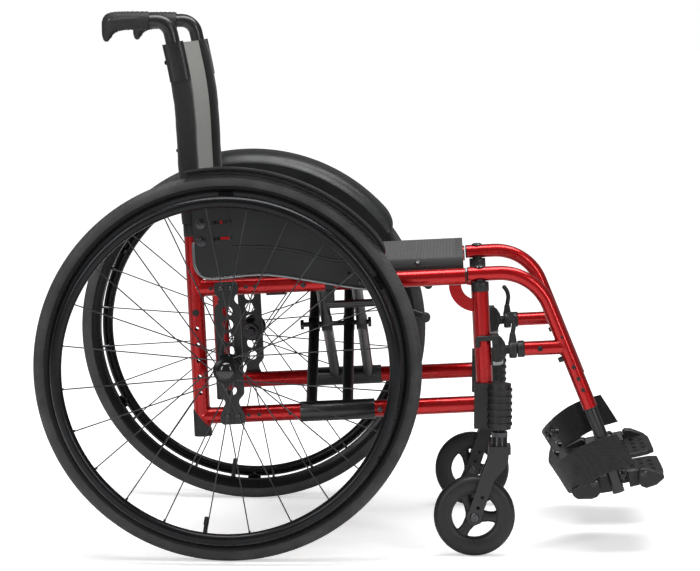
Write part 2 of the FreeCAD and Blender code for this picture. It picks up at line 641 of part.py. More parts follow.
# ---------------------------------------------------------------- casters
def caster(side, way):
    n = side + "_caster_"
    turn = "+y" if way > 0 else "-y"
    y = f"{way} * caster_half"
    ground = "- wheel_dia / 2"
    centre_z = f"caster_dia / 2 {ground}"
    leg = [
        (-15, -2), (15, -2), (13, -24), (7, -34), (-8, -52), (-24, -100), (-28, -118), (-38, -122),
        (-47, -118), (-49, -108), (-41, -84), (-29, -48), (-19, -24),
    ]
    legs = []
    for tag, edge in (("near", -1), ("far", 1)):
        inner = f"{y} + {edge} * fork_gap / 2"
        legs.append(extrusion(n + tag, leg, "fork_leg", ("stem_x", inner, f"fork_top {ground}"), edge))
    crown = block(n + "crown", (34, "fork_gap + 2 * fork_leg", 12),
                  ("stem_x - 17", f"{y} - fork_gap / 2 - fork_leg", f"fork_top - 12 {ground}"))
    collar = rod(n + "collar", 12, 14, ("stem_x", y, f"fork_top - 1 {ground}"))
    stem = rod(n + "stem", "stem_r", "stem_top - fork_top + 1", ("stem_x", y, f"fork_top - 1 {ground}"))
    bore = rod(n + "axle_hole", "4 + plate_gap", "fork_gap + 2 * fork_leg",
               ("caster_x", f"{y} - fork_gap / 2 - fork_leg", centre_z), "+y")
    leg_face = f"{y} - fork_gap / 2 - fork_leg"
    spare = [
        rod(f"{n}spare_{k}", 2.8, "fork_gap + 2 * fork_leg",
            (f"caster_x + {5.5 + 6.5 * k}", leg_face, f"{centre_z} + {15 + 16 * k}"), "+y")
        for k in range(2)
    ]
    body = join(n + "body", legs + [crown, collar, stem])
    finish(side + "_caster_fork", cut(n + "fork", body, bore, *spare), False)

    wheel_face = ("caster_x", f"{y} - caster_width / 2", centre_z)
    tread = rod(n + "tread", "caster_dia / 2", "caster_width", wheel_face, "+y")
    soft = doc.addObject("Part::Fillet", n + "soft_edges")
    soft.Base = tread
    doc.recompute()
    soft.Edges = [(k + 1, 8.0, 8.0) for k, e in enumerate(tread.Shape.Edges) if e.Closed]
    axle_bore = rod(n + "bore", "4 + run_gap", "caster_width", wheel_face, "+y")
    window = cut(
        n + "window",
        rod(n + "window_disc", "spoke_reach", "caster_width", wheel_face, "+y"),
        rod(n + "hub_core", "caster_hub_r", "caster_width", wheel_face, "+y"),
    )
    bars = []
    for k in range(3):
        turn_to = Rotation(Vector(0, 1, 0), -116 - 120 * k)
        start = Vector(size("caster_hub_r") - 3, -size("spoke_deep") / 2, -size("spoke_wide") / 2)
        corner = turn_to.multVec(start)
        bars.append(block(
            f"{n}spoke_{k}", ("spoke_reach - caster_hub_r + 6", "spoke_deep", "spoke_wide"),
            (f"caster_x + {corner.x:.6f}", f"{y} + {corner.y:.6f}", f"{centre_z} + {corner.z:.6f}"), turn_to))
    wheel = join(n + "spoked", [cut(n + "rim", soft, window)] + bars)
    finish(side + "_caster_wheel", cut(n + "wheel", wheel, axle_bore), False)

    span = "fork_gap / 2 + fork_leg"
    bolt = join(n + "bolt", [
        rod(n + "bolt_shank", 4, f"2 * ({span}) + 1",
            ("caster_x", f"{y} - {way} * ({span} + 0.5)", centre_z), turn),
        rod(n + "bolt_head", 6.5, 4,
            ("caster_x", f"{y} + {way} * ({span} + plate_gap)", centre_z), turn),
        rod(n + "bolt_nut", 6.5, 4,
            ("caster_x", f"{y} - {way} * ({span} + plate_gap + 4)", centre_z), turn),
    ])
    finish(side + "_caster_axle", bolt, False)


# ---------------------------------------------------------------- cross brace and seat
def cross_brace(side, way):
    """Two tubes from a sleeve on this side's lower tube to the seat rail across the chair."""
    n = side + "_brace_"
    first = 120 if way < 0 else 140.5
    half_arm = math.hypot(size("frame_half"), size("cross_w") - size("lower_w"))
    slope = math.degrees(math.atan2(size("cross_w") - size("lower_w"), size("frame_half")))
    rail_reach = half_arm * (1 + size("rail_half") / size("frame_half"))
    lean = Rotation(Vector(1, 0, 0), way * (90 - slope))
    sleeve_end = ("sleeve_u", f"{way} * frame_half", "lower_w")
    socket_r = "rail_r + socket_wall"
    pieces = [
        rod(n + "sleeve", "sleeve_r", "sleeve_length", sleeve_end, "+x"),
    ]
    for k, arm_u in enumerate((first, first + 56)):
        tube = doc.addObject("Part::Cylinder", f"{n}arm_{k}")
        tie(tube, "Radius", "arm_r")
        tube.Height = rail_reach
        place(tube, (arm_u, f"{way} * frame_half", "lower_w"), lean)
        pieces += [
            tube,
            rod(f"{n}boss_{k}", 12, 17, (arm_u - 8.5, 0, "cross_w"), "+x"),
            rod(f"{n}socket_{k}", socket_r, 18, (arm_u - 9, f"{-way} * rail_half", "rail_w"), "+x"),
        ]
    tools = [
        rod(n + "sleeve_bore", "tube_r + run_gap", "sleeve_length", sleeve_end, "+x"),
        rod(n + "pin_bore", "brace_pin_r + run_gap", 200, (60, 0, "cross_w"), "+x"),
        rod(n + "rail_bore", "rail_r + plate_gap", 200, (60, f"{-way} * rail_half", "rail_w"), "+x"),
    ]
    solid = cut(n + "solid", join(n + "body", pieces), *tools)
    if way < 0:
        bolt = join(n + "bolt", [
            rod(n + "bolt_shank", "brace_pin_r", 106, (101.6, 0, "cross_w"), "+x"),
            rod(n + "bolt_head", 8, 5, (98, 0, "cross_w"), "+x"),
            rod(n + "bolt_nut", 8, 5, (206.8, 0, "cross_w"), "+x"),
        ])
        solid = group(n + "all", [solid, bolt])
    finish(side + "_cross_brace", solid, True)
    opposite = "left" if way < 0 else "right"
    rail = rod(n + "rail", "rail_r", "rail_length", ("rail_u", f"{-way} * rail_half", "rail_w"), "+x")
    finish(opposite + "_seat_rail", rail, True)


def upholstery():
    seat = block("seat_sheet", ("seat_length", "2 * seat_half", "strap_thick"),
                 ("seat_u", "-seat_half", "rail_w + rail_r + socket_wall + 0.3"))
    finish("seat_sling", seat, True)
    corner = Vector(size("upright_u"), 0, size("lean_w"))
    ahead = (Vector(size("handle_u"), 0, size("handle_w")) - corner).normalize()
    top = corner + ahead * ((size("back_top") - corner.z) / ahead.z)
    across = Vector(ahead.z, 0, -ahead.x)

    def side_view(rear, front):
        """The outline of a sheet that follows the posts, between two distances from their axis."""
        rear_top, front_top = top + across * rear, top + across * front
        return [
            (corner.x + rear, size("back_low")), (corner.x + front, size("back_low")),
            (corner.x + front, corner.z), (front_top.x, front_top.z),
            (rear_top.x, rear_top.z), (corner.x + rear, corner.z),
        ]

    inner = "frame_half - back_sleeve_half"
    pieces = [extrusion("back_panel", side_view(-3, 2), f"2 * ({inner}) + 2", (0, f"-({inner}) - 1", 0), 1)]
    posts = []
    path = [(corner.x, size("back_low") - 5), (corner.x, corner.z), (size("handle_u"), size("handle_w"))]
    for tag, way in (("right", -1), ("left", 1)):
        pieces.append(extrusion(f"back_{tag}_sleeve", side_view(-16, 16), "2 * back_sleeve_half",
                                (0, f"{way} * frame_half - back_sleeve_half", 0), 1))
        middle = (0, f"{way} * frame_half", 0)
        posts.append(bent_tube(f"back_{tag}_bore", path, [600], "post_r + 0.3", middle))
    finish("back_sling", cut("back_solid", join("back_body", pieces), *posts), True)


# ---------------------------------------------------------------- legrests
def legrest(side, way):
    n = side + "_hanger_"
    pivot_y = f"{way} * frame_half"
    knee_w = size("hanger_w")
    end = (size("hanger_end_u"), size("hanger_end_w"))
    path = [(size("front_u") - size("hanger_rear"), knee_w), (size("knee_u"), knee_w), end]
    tube = bent_tube(n + "tube", path, [size("knee_radius")], "hanger_r", (0, pivot_y, 0))
    run = Vector(end[0] - size("knee_u"), 0, end[1] - knee_w).normalize()
    slope = Rotation(Vector(0, 0, 1), run * -1)
    latch_rise = size("latch_w") - end[1]
    stub_end = end[0] + latch_rise * run.x / run.z
    stub = rod(n + "stub", "hanger_r", f"{stub_end} - latch_u", ("latch_u", pivot_y, "latch_w"), "+x")
    pin = rod(n + "pin", 8, "hanger_w - front_top + 30", ("front_u", pivot_y, "front_top - 30"))
    head = rod(n + "head", 7, "hanger_r + 3", ("front_u", pivot_y, "hanger_w"))
    catch = join(n + "catch", [
        block(n + "catch_body", (22, 20, 44), ("front_u + 14", f"{pivot_y} - 10", "latch_w - 6")),
        block(n + "catch_hook", (38, 34, 15), ("front_u - 10", f"{pivot_y} - 17", "latch_w + 32")),
    ])
    tube_way = rod(n + "tube_way", "tube_r + 0.4", 120, ("front_u", pivot_y, "latch_w - 30"))
    neck = rod(n + "neck", 7, 40, ("latch_u - 35", pivot_y, "latch_w"), "+x")
    bore = doc.addObject("Part::Cylinder", n + "bore")
    tie(bore, "Radius", "extension_r + run_gap")
    bore.Height = 125
    place(bore, ("hanger_end_u", pivot_y, "hanger_end_w"), slope)
    body = join(n + "body", [tube, stub, pin, head, neck, cut(n + "catch_seat", catch, tube_way)])
    finish(side + "_hanger", cut(n + "solid", body, bore), True)

    ring = rod(n + "latch_ring", "hanger_r + 3", 12, ("latch_u - 13", pivot_y, "latch_w"), "+x")
    thumb = block(n + "latch_thumb", (9, 5, 66), ("latch_u - 11.5", f"{pivot_y} - 2.5", "latch_w + 12"))
    knob = ball(n + "latch_knob", 6, ("latch_u - 7", pivot_y, "latch_w + 78"))
    hole = rod(n + "latch_hole", "7 + run_gap", 40, ("latch_u - 40", pivot_y, "latch_w"), "+x")
    finish(side + "_latch", cut(n + "latch", join(n + "latch_body", [ring, thumb, knob]), hole), True)

    e = side + "_drop_"
    top = Vector(end[0], 0, end[1]) - run * 90
    reach = [(top.x, top.z), (size("ankle_u"), size("ankle_w")), (size("foot_u"), size("foot_w"))]
    leg = bent_tube(e + "tube", reach, [100], "extension_r", (0, pivot_y, 0))
    tilted_leg = group(e + "leg", [leg])
    tilted_leg.Placement = Placement(Vector(0, 0, 0), Rotation(Vector(0, -1, 0), size("frame_tilt")))
    tie(tilted_leg, "Placement.Rotation.Angle", "frame_tilt * 1deg")
    nose_up = Rotation(Vector(0, 1, 0), -size("plate_tilt"))
    along = nose_up * Rotation(Vector(0, 1, 0), 90)
    pin_y = f"{way} * flip_half"
    hinge_z = "foot_z - wheel_dia / 2"

    def along_pin(name, radius, start, length):
        bar = doc.addObject("Part::Cylinder", name)
        tie(bar, "Radius", radius)
        tie(bar, "Height", length)
        offset = nose_up.multVec(Vector(start, 0, 0))
        return place(bar, (f"foot_x + {offset.x:.6f}", pin_y, f"{hinge_z} + {offset.z:.6f}"), along)

    bracket = block(e + "bracket", (22, "frame_half - flip_half", 9), (
        "foot_x - 11", f"{pin_y} - (1 - {way}) / 2 * (frame_half - flip_half)", f"{hinge_z} - 4"))
    knuckle = along_pin(e + "knuckle", 6, -12, 24)
    pin_rod = along_pin(e + "pin", "flip_pin_r", -34, 68)
    finish(side + "_extension_tube", join(e + "solid", [tilted_leg, bracket, knuckle, pin_rod]), False)

    f = side + "_footplate_"
    half = size("foot_length") / 2
    inner = size("foot_inner") - size("flip_half")
    outer = size("foot_outer") - size("flip_half")
    lobe = size("foot_outer") + 21 - size("flip_half")
    outline = [
        (-half + 8, inner), (half - 14, inner), (half, inner + 12), (half, outer - 20), (half - 4, lobe - 8),
        (half - 16, lobe), (half - 38, lobe), (half - 50, outer), (-half + 48, outer), (-half + 38, lobe),
        (-half + 12, lobe), (-half + 1, lobe - 12), (-half, inner + 14),
    ]
    shape = doc.addObject("Part::Feature", f + "outline")
    corners = [Vector(along_x, way * across, 0) for along_x, across in outline]
    shape.Shape = Part.Face(Part.makePolygon(corners + corners[:1]))
    slab = doc.addObject("Part::Extrusion", f + "slab")
    slab.Base = shape
    slab.DirMode = "Custom"
    slab.Dir = Vector(0, 0, -1)
    tie(slab, "LengthFwd", "foot_thick")
    drop = nose_up.multVec(Vector(0, 0, -6))
    place(slab, (f"foot_x + {drop.x:.6f}", pin_y, f"{hinge_z} + {drop.z:.6f}"), nose_up)
    ears = [along_pin(f + "ear_rear", 7, -32, 18), along_pin(f + "ear_front", 7, 14, 18)]
    hole = along_pin(f + "hole", "flip_pin_r + run_gap", -40, 80)
    gap = along_pin(f + "gap", 6.5, -13, 26)
    finish(side + "_footplate", cut(f + "solid", join(f + "body", [slab] + ears), hole, gap), False)

    strap = doc.addObject("Part::Feature", side + "_strap")
    low, thick = size("foot_z") - 20 - size("wheel_dia") / 2, size("strap_thick")
    out_y = size("frame_half") + size("extension_r") + 4
    plan = [
        Vector(606, way * (out_y - 2), low + 44), Vector(570, way * out_y, low + 36),
        Vector(532, way * (out_y - 6), low + 17), Vector(510, way * (out_y - 36), low + 2),
        Vector(507, way * 140, low), Vector(510, way * 100, low + 8), Vector(518, way * 64, low + 22),
    ]
    curve = Part.BSplineCurve()
    curve.interpolate(plan)
    lower = curve.toShape()
    upper = lower.copy()
    upper.translate(Vector(0, 0, 46))
    band = Part.makeRuledSurface(lower, upper)
    strap.Shape = band.makeOffsetShape(thick, 0.01, fill=True)
    finish(side + "_heel_loop", strap, False)


for side, way in (("right", -1), ("left", 1)):
    side_frame(side, way)
    axle_plate(side, way)
    axle_receiver(side, way)
    side_guard(side, way)
    back_post(side, way)
    push_grip(side, way)
    caster_housing(side, way)
    end_caps(side, way)
    frame_bolts(side, way)
    rail_receiver(side, way)
    brake_body(side, way)
    brake_lever(side, way)
    rear_wheel(side, way)
    quick_release(side, way)
    caster(side, way)
    cross_brace(side, way)
    legrest(side, way)
upholstery()
doc.recompute()

failed = [obj.Name for obj in doc.Objects if "Invalid" in obj.State or "Error" in obj.State]
if failed:
    raise RuntimeError(f"these did not build: {failed}")
hollow = [obj.Label for obj in NODES if obj.Shape.isNull() or not obj.Shape.isValid() or not obj.Shape.Solids]
if hollow:
    raise RuntimeError(f"these have no valid solid: {hollow}")

os.makedirs("parts", exist_ok=True)
for obj in NODES:
    obj.Shape.exportStep(f"parts/{obj.Label}.step")
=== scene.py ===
# %% [markdown]
# # A folding manual wheelchair
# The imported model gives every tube, plate and wheel its size and place. This lesson adds what a
# designer would draw next: lacquer, moulded plastic, rubber, webbing and upholstery, and the
# rounded, ribbed and stitched shapes that the plain solids stand for.

# %% Load the frame and keep its box
import json
import math

import bmesh
import bpy
from mathutils import Matrix, Vector


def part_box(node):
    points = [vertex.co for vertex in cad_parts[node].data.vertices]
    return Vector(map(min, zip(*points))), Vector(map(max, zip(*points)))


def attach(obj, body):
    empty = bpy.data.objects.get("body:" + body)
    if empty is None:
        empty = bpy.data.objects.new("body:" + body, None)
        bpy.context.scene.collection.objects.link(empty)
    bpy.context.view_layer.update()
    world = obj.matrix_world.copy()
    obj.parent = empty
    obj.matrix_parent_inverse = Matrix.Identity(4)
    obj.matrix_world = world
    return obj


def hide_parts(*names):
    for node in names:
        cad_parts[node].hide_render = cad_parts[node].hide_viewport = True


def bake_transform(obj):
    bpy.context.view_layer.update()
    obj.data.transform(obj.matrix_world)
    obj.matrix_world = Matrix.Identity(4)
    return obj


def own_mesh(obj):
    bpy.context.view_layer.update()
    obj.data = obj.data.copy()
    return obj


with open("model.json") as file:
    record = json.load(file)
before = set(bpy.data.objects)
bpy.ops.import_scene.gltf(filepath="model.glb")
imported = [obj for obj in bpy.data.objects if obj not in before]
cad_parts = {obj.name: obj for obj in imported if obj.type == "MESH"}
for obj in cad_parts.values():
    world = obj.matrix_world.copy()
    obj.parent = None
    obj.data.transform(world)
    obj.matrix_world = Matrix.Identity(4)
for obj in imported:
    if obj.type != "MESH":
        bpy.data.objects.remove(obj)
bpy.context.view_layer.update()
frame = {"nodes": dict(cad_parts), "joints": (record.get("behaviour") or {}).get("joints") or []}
NODES = frame["nodes"]
JOINTS = {joint["name"]: joint for joint in frame["joints"]}
MM = 0.001

# %% [markdown]
# The side frames are drawn square and then tipped back by a few degrees about the rear axle, as on
# the real chair, where the axle plate sets that angle. Everything on the frame is placed in that
# tipped system: u runs forward along the side tubes, y across the chair and w up, all in
# millimetres from the rear axle. The fold joint's axis gives the tilt.

# %% The two systems of coordinates
hub_low, hub_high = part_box("right_rim")
AXLE = Vector(((hub_low.x + hub_high.x) / 2, 0, (hub_low.z + hub_high.z) / 2))
fore = Vector(JOINTS["fold"]["axis"])
TILT = math.atan2(fore.z, fore.x)
TO_WORLD = Matrix.Translation(AXLE) @ Matrix.Scale(MM, 4)
TO_FRAME = Matrix.Translation(AXLE) @ Matrix.Rotation(-TILT, 4, "Y") @ Matrix.Scale(MM, 4)
SIDES = (("right", -1), ("left", 1))
print("tilt", round(math.degrees(TILT), 2))


# %% [markdown]
# A finish is a small graph of nodes. Colours are written as hex codes, the way a paint maker gives
# them, and turned to the linear values that Blender mixes. A few short helpers add a node, stretch
# a noise, mix two colours and turn a height into bump, so that each finish below reads as a recipe.

# %% Colours and nodes
def linear(code):
    """A hex colour as linear red, green, blue and alpha."""
    parts = [int(code[k:k + 2], 16) / 255 for k in (1, 3, 5)]
    return tuple(p / 12.92 if p <= 0.04045 else ((p + 0.055) / 1.055) ** 2.4 for p in parts) + (1,)


def add(mat, kind, inputs=None, **settings):
    """A node with its settings, and with values or links on its inputs."""
    made = mat.node_tree.nodes.new(kind)
    for key, value in settings.items():
        setattr(made, key, value)
    for key, value in (inputs or {}).items():
        if isinstance(value, bpy.types.NodeSocket):
            mat.node_tree.links.new(value, made.inputs[key])
        else:
            made.inputs[key].default_value = value
    return made


def start(name, **sockets):
    """A material whose Principled shader has these values."""
    mat = bpy.data.materials.new(name)
    mat.use_nodes = True
    shader = mat.node_tree.nodes["Principled BSDF"]
    for key, value in sockets.items():
        shader.inputs[key.replace("_", " ")].default_value = value
    place = add(mat, "ShaderNodeTexCoord").outputs["Object"]
    return mat, shader, place


def link(mat, output, socket):
    mat.node_tree.links.new(output, socket)


def mottle(mat, place, scale, low, high, detail=4.0):
    """Noise stretched between two values, as a plain number."""
    noise = add(mat, "ShaderNodeTexNoise", {"Vector": place, "Scale": scale, "Detail": detail})
    return add(mat, "ShaderNodeMapRange", {
        "Value": noise.outputs["Fac"], "From Min": 0.3, "From Max": 0.7, "To Min": low, "To Max": high,
    }).outputs["Result"]


def tint(mat, amount, one, two):
    """Two colours mixed by a number."""
    mix = add(mat, "ShaderNodeMix", {"Factor": amount}, data_type="RGBA")
    mix.inputs["A"].default_value = linear(one)
    mix.inputs["B"].default_value = linear(two)
    return mix.outputs["Result"]


def emboss(mat, shader, height, strength, distance):
    """Bump from a height in the shader's normal."""
    bump = add(mat, "ShaderNodeBump", {"Height": height, "Strength": strength, "Distance": distance})
    link(mat, bump.outputs["Normal"], shader.inputs["Normal"])
    return bump


# %% [markdown]
# The frame is aluminium tube under a candy lacquer: metal flake below a tinted coat and a hard
# clear coat. The flake is drawn as fine noise in the colour, and the clear coat gives the long
# white reflections along each tube.

# %% Candy red lacquer
def candy_lacquer():
    mat, shader, place = start(
        "candy red lacquer", Metallic=0.75, Roughness=0.28, Coat_Weight=0.55, Coat_Roughness=0.06)
    flake = mottle(mat, place, 1400.0, 0.0, 1.0, 2.0)
    cloud = mottle(mat, place, 9.0, 0.0, 0.2)
    depth = add(mat, "ShaderNodeMath", {0: flake, 1: 0.3}, operation="MULTIPLY").outputs[0]
    total = add(mat, "ShaderNodeMath", {0: depth, 1: cloud}, operation="ADD").outputs[0]
    link(mat, tint(mat, total, "#c40007", "#5c0002"), shader.inputs["Base Color"])
    link(mat, mottle(mat, place, 60.0, 0.25, 0.34), shader.inputs["Roughness"])
    emboss(mat, shader, mottle(mat, place, 260.0, 0.0, 1.0, 1.0), 0.05, 0.0002)
    return mat


# %% [markdown]
# Most other parts are black. A black surface is read by its sheen, so each black has its own:
# powder coat is an even satin with a fine orange peel, moulded nylon is duller with a spark-eroded
# grain, anodised aluminium is smooth, and rubber is nearly matt with dust in it.

# %% Blacks, metals and rubbers
def plain_finish(name, one, two, rough, grain_mm, bump, metallic=0.0, coat=0.0):
    """A surface with a slow change of colour and roughness, and a grain of a real size."""
    mat, shader, place = start(name, Metallic=metallic, Coat_Weight=coat, Coat_Roughness=0.12)
    link(mat, tint(mat, mottle(mat, place, 14.0, 0.0, 1.0), one, two), shader.inputs["Base Color"])
    link(mat, mottle(mat, place, 35.0, rough * 0.86, rough * 1.16), shader.inputs["Roughness"])
    grain = mottle(mat, place, 1.0 / (grain_mm * MM), 0.0, 1.0, 2.0)
    emboss(mat, shader, grain, bump, 0.0003)
    return mat


RED = candy_lacquer()
POWDER = plain_finish("black powder coat", "#09090a", "#111113", 0.36, 1.1, 0.12, coat=0.25)
ANODISED = plain_finish("black anodised aluminium", "#131315", "#1b1c1e", 0.26, 0.5, 0.05, metallic=0.6)
NYLON = plain_finish("moulded black nylon", "#0d0d0e", "#161617", 0.46, 0.9, 0.28)
GUARD = plain_finish("charcoal moulded guard", "#131415", "#1b1c1d", 0.42, 0.8, 0.22)
GLOSS = plain_finish("glossy black cap", "#050506", "#0b0b0c", 0.08, 2.0, 0.02, coat=0.6)
RUBBER = plain_finish("dark grey rubber", "#141415", "#1d1d1f", 0.6, 1.0, 0.3)
ZINC = plain_finish("dark plated steel", "#3c3c3f", "#616164", 0.26, 0.7, 0.08, metallic=1.0)
BRIGHT = plain_finish("bright plated steel", "#8f9194", "#b4b6b8", 0.26, 0.7, 0.06, metallic=1.0)
STEEL = plain_finish("dark spoke wire", "#38393b", "#56585a", 0.34, 0.4, 0.05, metallic=1.0)
TREAD = plain_finish("caster tread", "#0f0f10", "#18181a", 0.45, 0.9, 0.2)


# %% [markdown]
# A tyre's sidewall carries fine rings from its mould and its shoulder has short grooves across the
# direction of rolling. Both are worked out from the distance and the angle about the axle.

# %% Tyre rubber
def tyre_rubber():
    mat, shader, place = start("tyre rubber")
    tone = tint(mat, mottle(mat, place, 20.0, 0.0, 1.0), "#2e2e2f", "#434344")
    link(mat, tone, shader.inputs["Base Color"])
    link(mat, mottle(mat, place, 50.0, 0.62, 0.8), shader.inputs["Roughness"])
    away = add(mat, "ShaderNodeVectorMath", {0: place, 1: AXLE}, operation="SUBTRACT").outputs[0]
    flat = add(mat, "ShaderNodeVectorMath", {0: away, 1: (1, 0, 1)}, operation="MULTIPLY").outputs[0]
    reach = add(mat, "ShaderNodeVectorMath", {0: flat}, operation="LENGTH").outputs["Value"]
    split = add(mat, "ShaderNodeSeparateXYZ", {0: away})
    angle = add(mat, "ShaderNodeMath", {0: split.outputs["Z"], 1: split.outputs["X"]}, operation="ARCTAN2")
    ring_pitch, groove_count = 0.0016, 150
    rings = add(mat, "ShaderNodeMath", {0: reach, 1: 2 * math.pi / ring_pitch}, operation="MULTIPLY")
    wave = add(mat, "ShaderNodeMath", {0: rings.outputs[0]}, operation="SINE").outputs[0]
    turn = add(mat, "ShaderNodeMath", {0: angle.outputs[0], 1: groove_count}, operation="MULTIPLY")
    slant = add(mat, "ShaderNodeMath", {0: split.outputs["Y"], 1: 900.0}, operation="MULTIPLY")
    phase = add(mat, "ShaderNodeMath", {0: turn.outputs[0], 1: slant.outputs[0]}, operation="ADD")
    teeth = add(mat, "ShaderNodeMath", {0: phase.outputs[0]}, operation="SINE").outputs[0]
    shoulder = add(mat, "ShaderNodeMapRange", {
        "Value": reach, "From Min": 0.2885, "From Max": 0.2905, "To Min": 0.0, "To Max": 1.0,
    }).outputs["Result"]
    cut = add(mat, "ShaderNodeMath", {0: teeth, 1: shoulder}, operation="MULTIPLY").outputs[0]
    fine = add(mat, "ShaderNodeMath", {0: wave, 1: 0.12}, operation="MULTIPLY").outputs[0]
    height = add(mat, "ShaderNodeMath", {0: cut, 1: fine}, operation="ADD").outputs[0]
    emboss(mat, shader, height, 0.6, 0.0007)
    return mat


TYRE = tyre_rubber()


# %% [markdown]
# Cloth needs thread. The webbing of the heel loops is woven in ribs, the back is a coarse weave,
# and the seat is a spacer mesh with small holes in rows. The pitch of each is a real one, except
# that the weave is drawn a little coarser than life so that it still shows from across a room.

# %% Cloth
def woven(name, one, two, pitch_mm, bump, holes=False):
    mat, shader, place = start(name, Sheen_Weight=0.25, Roughness=0.85)
    rate = 2 * math.pi / (pitch_mm * MM)
    split = add(mat, "ShaderNodeSeparateXYZ", {0: place})
    waves = []
    for axis in "XYZ":
        run = add(mat, "ShaderNodeMath", {0: split.outputs[axis], 1: rate}, operation="MULTIPLY").outputs[0]
        waves.append(add(mat, "ShaderNodeMath", {0: run}, operation="SINE").outputs[0])
    warp = add(mat, "ShaderNodeMath", {0: waves[0], 1: waves[1]}, operation="MULTIPLY").outputs[0]
    if holes:
        rows = add(mat, "ShaderNodeMath", {0: waves[0], 1: 0.55}, operation="MULTIPLY").outputs[0]
        thread = add(mat, "ShaderNodeMath", {0: warp, 1: rows}, operation="ADD").outputs[0]
    else:
        cross = add(mat, "ShaderNodeMath", {0: waves[1], 1: waves[2]}, operation="MULTIPLY").outputs[0]
        thread = add(mat, "ShaderNodeMath", {0: warp, 1: cross}, operation="ADD").outputs[0]
    amount = add(mat, "ShaderNodeMapRange", {
        "Value": thread, "From Min": -0.7, "From Max": 0.7, "To Min": 0.0, "To Max": 1.0,
    }).outputs["Result"]
    link(mat, tint(mat, amount, one, two), shader.inputs["Base Color"])
    emboss(mat, shader, thread, bump, 0.0006)
    return mat


WEBBING = woven("black ribbed webbing", "#080809", "#171719", 2.2, 0.7)
BACK_CLOTH = woven("black back cloth", "#0b0b0c", "#171718", 1.8, 0.35)
PANEL_CLOTH = woven("grey panel cloth", "#6a6c68", "#85877f", 2.0, 0.4)
# Drawn coarser than a real spacer mesh, so that its rows of holes show.
SEAT_MESH = woven("grey spacer mesh", "#0e0e0f", "#4a4b4c", 5.2, 1.0, holes=True)
EDGE_TAPE = woven("black edge tape", "#0b0b0c", "#171719", 1.4, 0.3)
# The guard's real bead is black: this light grey metal is a painted highlight along its edge.
BEAD_PAINTED_HIGHLIGHT = plain_finish("bead edge painted highlight grey", "#77787a", "#a2a3a5", 0.22, 0.8, 0.05, metallic=0.9)
LEATHER = plain_finish("black grained leather", "#0c0c0d", "#161617", 0.36, 2.2, 0.45, coat=0.15)


# %% [markdown]
# The CAD solids whose shape is already right keep it and only get a finish. One table says which
# finish each takes.

# %% Finishes for the CAD nodes
FINISHES = {
    "side_frame": RED, "hanger": RED, "axle_plate": POWDER, "axle_receiver": ZINC, "back_post": POWDER,
    "push_grip": RUBBER, "caster_housing": NYLON, "end_caps": NYLON, "frame_bolts": ANODISED,
    "rail_receiver": NYLON, "brake_body": POWDER, "brake_lever": POWDER, "tyre": TYRE, "rim": ANODISED,
    "handrim": ANODISED, "spokes": STEEL, "hub": ANODISED, "quick_release_axle": ZINC,
    "axle_button": GLOSS, "caster_fork": POWDER, "caster_wheel": TREAD, "caster_axle": ZINC,
    "latch": NYLON, "extension_tube": POWDER, "footplate": NYLON, "heel_loop": WEBBING,
    "cross_brace": POWDER, "seat_rail": POWDER, "side_guard": GUARD,
}


def smooth(mesh, degrees=35):
    """Smooth shading that keeps edges sharper than an angle."""
    for face in mesh.polygons:
        face.use_smooth = True
    mesh.set_sharp_from_angle(angle=math.radians(degrees))


for name, obj in NODES.items():
    finish = FINISHES.get(name.split("_", 1)[1], BACK_CLOTH)
    obj.data.materials.clear()
    obj.data.materials.append(finish)
print("finished", len(NODES), "CAD nodes")


# %% [markdown]
# New pieces start as bmesh shapes in millimetres. One function turns a bmesh into a piece in its
# place, with its finish, its body and the CAD nodes it stands for.

# %% From a bmesh to a piece
MADE = []


def make(name, bm, finish, body, at=TO_FRAME, stands_for=(), degrees=35, bevel=0.0):
    """An object from a bmesh; its edges turn sharp past some degrees, and may get a bevel."""
    bmesh.ops.remove_doubles(bm, verts=bm.verts, dist=0.0005)
    bmesh.ops.recalc_face_normals(bm, faces=bm.faces)
    bm.transform(at)
    mesh = bpy.data.meshes.new(name)
    bm.to_mesh(mesh)
    bm.free()
    mesh.materials.append(finish)
    smooth(mesh, degrees)
    obj = bpy.data.objects.new(name, mesh)
    bpy.context.scene.collection.objects.link(obj)
    if bevel:
        round_edges = obj.modifiers.new("rounded edges", "BEVEL")
        round_edges.width = bevel * MM
        round_edges.segments = 2
        round_edges.limit_method = "ANGLE"
        round_edges.angle_limit = math.radians(40)
    if body:
        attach(obj, body)
    if stands_for:
        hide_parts(*stands_for)
    MADE.append(obj)
    return obj


def revolve(bm, profile, centre, axis=(0, 1, 0), steps=64, closed=True):
    """A profile of (radius, along) spun about an axis through the centre."""
    axis = Vector(axis).normalized()
    out = axis.orthogonal().normalized()
    corners = [bm.verts.new(Vector(centre) + out * radius + axis * along) for radius, along in profile]
    pairs = zip(corners, corners[1:] + (corners[:1] if closed else []))
    edges = [bm.edges.new(pair) for pair in pairs]
    bmesh.ops.spin(
        bm, geom=corners + edges, cent=centre, axis=axis, angle=2 * math.pi, steps=steps, use_merge=True)


def slab(bm, corners, thick, way=(0, 1, 0)):
    """A flat outline of (x, y, z) points pushed through a thickness."""
    face = bm.faces.new([bm.verts.new(Vector(c)) for c in corners])
    pushed = bmesh.ops.extrude_face_region(bm, geom=[face])
    moved = [v for v in pushed["geom"] if isinstance(v, bmesh.types.BMVert)]
    bmesh.ops.translate(bm, verts=moved, vec=Vector(way).normalized() * thick)


def brick(bm, low, high):
    """A box between two corners."""
    low, high = Vector(low), Vector(high)
    made = bmesh.ops.create_cube(bm, size=1.0)["verts"]
    size = Matrix.Diagonal((high - low).to_4d())
    size[3][3] = 1.0
    bmesh.ops.transform(bm, verts=made, matrix=Matrix.Translation((low + high) / 2) @ size)
    return made


